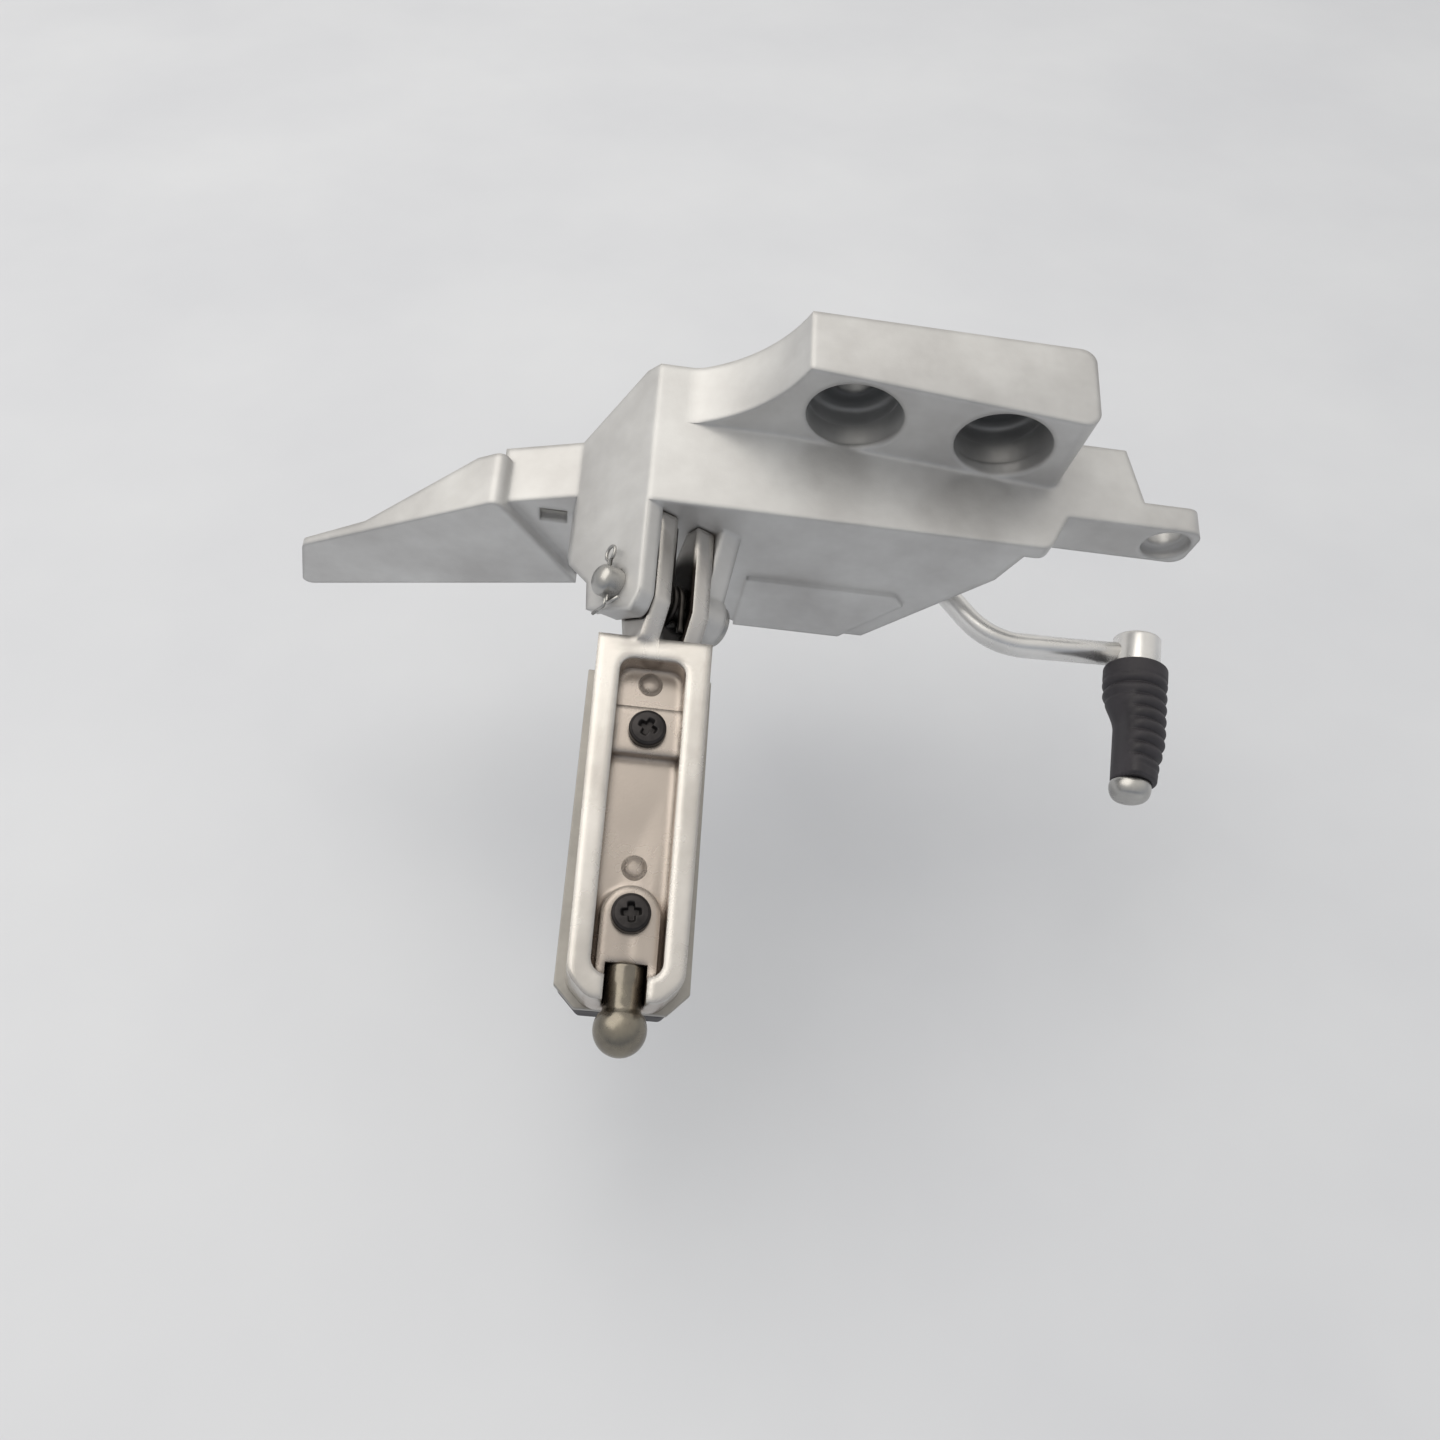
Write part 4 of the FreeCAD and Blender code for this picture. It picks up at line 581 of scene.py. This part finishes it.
on_thread = (feeler_profile[:, 1] < 0) & (feeler_profile[:, 0] > 0)
ridge = np.cos(2 * np.pi * feeler_profile[:, 1, None] / THREAD_PITCH - angle) - 1
ridge = THREAD_HALF_DEEP * ridge
feeler_radius = feeler_profile[:, :1] + np.where(on_thread[:, None], ridge, 0.0)
feeler_skin = FEELER + feeler_profile[:, 1, None, None] * OUTBOARD + feeler_radius[..., None] * spoke
feeler = surface("feeler_turned", feeler_skin, zinc)
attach(feeler, "footrest")
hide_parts("feeler_pin")

# Tread plate: pressed steel, zinc plated, on the upper side of the footrest.
# The tread rubber is bonded to it, and the two tread screws hold it.
# To the eye: a flat dull grey, dimmer than turned steel.
pressed = finish("pressed steel, zinc plated", low="#8f8d89", high="#a9a6a1", patch=12,
                 gloss=(0.36, 0.5), metallic=0.85, grain=0.8, relief=0.03)[0]
plate = solid_copy("tread_plate", "tread_plate_pressed", STEEL_EDGE, pressed)
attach(plate, "footrest")
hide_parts("tread_plate")

# Tread rubber: moulded black rubber with cross grooves, on the side where the boot stands.
# It is bonded to the tread plate, and comes off with it.
TREAD_EDGE = 0.0006
tread = solid_copy("tread_rubber", "tread_rubber_moulded", TREAD_EDGE, rubber)
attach(tread, "footrest")
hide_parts("tread_rubber")

# Tread screws: two M5 pan heads of black oxide steel with a cross recess.
# They are driven from the trough, through the footrest into the tread plate.
SCREW_Y = (-0.0985, -0.1435)
PAD_Z = 0.0235
SCREW_HEAD = 0.0045
SCREW_HEAD_HIGH = 0.0026
SCREW_SHANK = 0.00245
SCREW_LONG = 0.0115
SCREW_ROUND = 0.0006
SCREW_TURNS = 96
CROWN_MARGIN = 0.0007
CROWN_FALL = 0.0005
CROWN_STEPS = 60
RIM_FALL = 0.00036
SIDE_FALL = 0.0006
CROSS_WIDE = 0.00062
CROSS_SLOPE = 1.5
CROSS_LONG = 0.0026
CROSS_LEVEL = 0.6
CROSS_DEEP = 0.0014
CROSS_TURN = (0.35, 0.9)
# To the eye: nearly black, with a soft gleam on the crown of each head.
black, tree, shader, place, tone = finish(
    "black oxide steel", low="#2c2a2a", high="#413e3e", patch=3, gloss=(0.36, 0.5), metallic=0.75,
    grain=0.3, relief=0.02)
# Painted shade and dirt: near black laid into the cross recess and other tight corners.
smear(tree, shader, tone, corner_shade_and_dirt(tree, reach=1.5, start=0.5, full=0.15), "#1d1b1b")
crown = np.linspace(0.0, SCREW_HEAD - CROWN_MARGIN, CROWN_STEPS)
head_profile = np.concatenate((
    np.stack((crown, SCREW_HEAD_HIGH - CROWN_FALL * (crown / SCREW_HEAD) ** 2), axis=1),
    rounded([(SCREW_HEAD - CROWN_MARGIN, SCREW_HEAD_HIGH - RIM_FALL),
             (SCREW_HEAD, SCREW_HEAD_HIGH - SIDE_FALL), (SCREW_HEAD, 0), (SCREW_SHANK, 0),
             (SCREW_SHANK, -SCREW_LONG), (0, -SCREW_LONG)], SCREW_ROUND)))
angle = around(SCREW_TURNS)
spoke = spokes(DOWN, angle)
reach = head_profile[:, :1]
on_crown = (np.arange(len(head_profile)) < len(crown))[:, None]
for count, (screw_y, start) in enumerate(zip(SCREW_Y, CROSS_TURN)):
    narrow = np.minimum(reach * np.abs(np.cos(angle - start)), reach * np.abs(np.sin(angle - start)))
    cut = 1 - eased(narrow, CROSS_WIDE, CROSS_WIDE * CROSS_SLOPE)
    cut = cut * (1 - eased(reach, CROSS_LONG * CROSS_LEVEL, CROSS_LONG))
    level = head_profile[:, 1:] - np.where(on_crown, CROSS_DEEP * cut, 0.0)
    screw_skin = np.array((PEG_X, screw_y, PAD_Z)) + level[..., None] * DOWN + reach[..., None] * spoke
    screw = surface("tread_screw_%d" % count, screw_skin, black)
    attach(screw, "footrest")
    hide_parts("tread_screws")

# Table: a pale lacquered top. The hanger is shown upside down, so the table is over it,
# and its back, which faces up in this frame, lets the eye and the light through.
# It stands off from the part's lowest points, so that the footrest can fold clear of it.
TABLE_NORMAL = Vector((0.12, 0.29, -0.95)).normalized()
TABLE_REST = Vector((0.062, -0.167, 0.034))
TABLE_CLEAR = 0.065
TABLE_HALF = 2.5
TABLE_CORNERS = TABLE_HALF * np.array(((-1, -1), (1, -1), (1, 1), (-1, 1)))
across = TABLE_NORMAL.orthogonal().normalized()
along = TABLE_NORMAL.cross(across)
table_middle = np.array(TABLE_REST - TABLE_NORMAL * TABLE_CLEAR)
table_points = table_middle + TABLE_CORNERS @ np.array((across, along))
mesh = bpy.data.meshes.new("table_top")
mesh.from_pydata(table_points.tolist(), [], [(0, 1, 2, 3)])
table = bpy.data.objects.new("table_top", mesh)
bpy.context.scene.collection.objects.link(table)
# To the eye: an even pale white that shows little but the part's soft shadow.
table_top, tree, shader, place, tone = finish(
    "white table lacquer", low="#ced1d7", high="#d5d8dd", patch=140, gloss=(0.48, 0.56), metallic=0.0,
    grain=2.5, relief=0.02)
sides = add(tree, "ShaderNodeNewGeometry")
clear = add(tree, "ShaderNodeBsdfTransparent")
one_sided = add(tree, "ShaderNodeMixShader",
                {"Fac": sides.outputs["Backfacing"], 1: shader.outputs["BSDF"],
                 2: clear.outputs["BSDF"]})
tree.links.new(one_sided.outputs["Shader"], tree.nodes["Material Output"].inputs["Surface"])
mesh.materials.append(table_top)

# Room: plain pale walls, which light the part softly from all round.
# They are warm and bright above the camera, and bluish and dimmer towards the opposite side.
BRIGHT_SIDE = Vector((0.15, 0.60, -0.78)).normalized()
DIM_LEAN = -0.7
BRIGHT_LEAN = 0.9
ROOM_STRENGTH = 0.82
world = bpy.data.worlds.new("pale room")
world.use_nodes = True
tree = world.node_tree
background = tree.nodes["Background"]
heading = add(tree, "ShaderNodeTexCoord").outputs["Generated"]
lean = add(tree, "ShaderNodeVectorMath", {0: heading, 1: BRIGHT_SIDE},
           operation="DOT_PRODUCT").outputs["Value"]
share = add(tree, "ShaderNodeMapRange", {"Value": lean, "From Min": DIM_LEAN, "From Max": BRIGHT_LEAN},
            interpolation_type="SMOOTHSTEP").outputs["Result"]
walls = add(tree, "ShaderNodeMix", {"Factor": share, "A": linear("#8792a4"), "B": linear("#fdfaf5")},
            data_type="RGBA")
tree.links.new(walls.outputs["Result"], background.inputs["Color"])
background.inputs["Strength"].default_value = ROOM_STRENGTH
bpy.context.scene.world = world

# Window: daylight from the upper left of the picture, on the camera's side of the table.
# A broad lamp stands for it, so that no shadow has a hard edge.
WINDOW_SIDE = Vector((0.50, 0.45, -0.74)).normalized()
WINDOW_AIM = Vector((0.04, -0.05, 0.03))
WINDOW_FAR = 1.4
WINDOW_WIDE = 1.8
WINDOW_HIGH = 1.4
WINDOW_WATTS = 11.0
lamp = bpy.data.lights.new("window", "AREA")
lamp.shape = "RECTANGLE"
lamp.size = WINDOW_WIDE
lamp.size_y = WINDOW_HIGH
lamp.energy = WINDOW_WATTS
lamp.color = linear("#fffaf2")[:3]
window = bpy.data.objects.new("window", lamp)
window.location = WINDOW_AIM + WINDOW_SIDE * WINDOW_FAR
window.rotation_mode = "QUATERNION"
window.rotation_quaternion = (WINDOW_AIM - window.location).to_track_quat("-Z", "Y")
bpy.context.scene.collection.objects.link(window)

# Camera: where the photograph was taken from, in the hanger's own frame.
# The lens comes from a focal length in pixels, on a picture 1440 pixels wide.
CAMERA_PLACE = (0.0752, -0.2167, -0.2517)
CAMERA_RIGHT = Vector((-0.98931, 0.05819, -0.13372))
CAMERA_UP = Vector((0.10714, 0.91206, -0.39580))
CAMERA_AHEAD = Vector((-0.09893, 0.40590, 0.90855))
SENSOR_WIDE = 36.0
FOCAL_PIXELS = 1255
PICTURE_PIXELS = 1440
NEAR_CLIP = 0.01
lens = bpy.data.cameras.new("camera")
lens.sensor_width = SENSOR_WIDE
lens.lens = SENSOR_WIDE * FOCAL_PIXELS / PICTURE_PIXELS
lens.clip_start = NEAR_CLIP
camera = bpy.data.objects.new("camera", lens)
camera.rotation_mode = "QUATERNION"
camera_axes = Matrix((CAMERA_RIGHT, CAMERA_UP, -CAMERA_AHEAD)).transposed()
camera.rotation_quaternion = camera_axes.to_quaternion()
camera.location = CAMERA_PLACE
bpy.context.scene.collection.objects.link(camera)
bpy.context.scene.camera = camera
bpy.context.scene.view_settings.view_transform = "Standard"
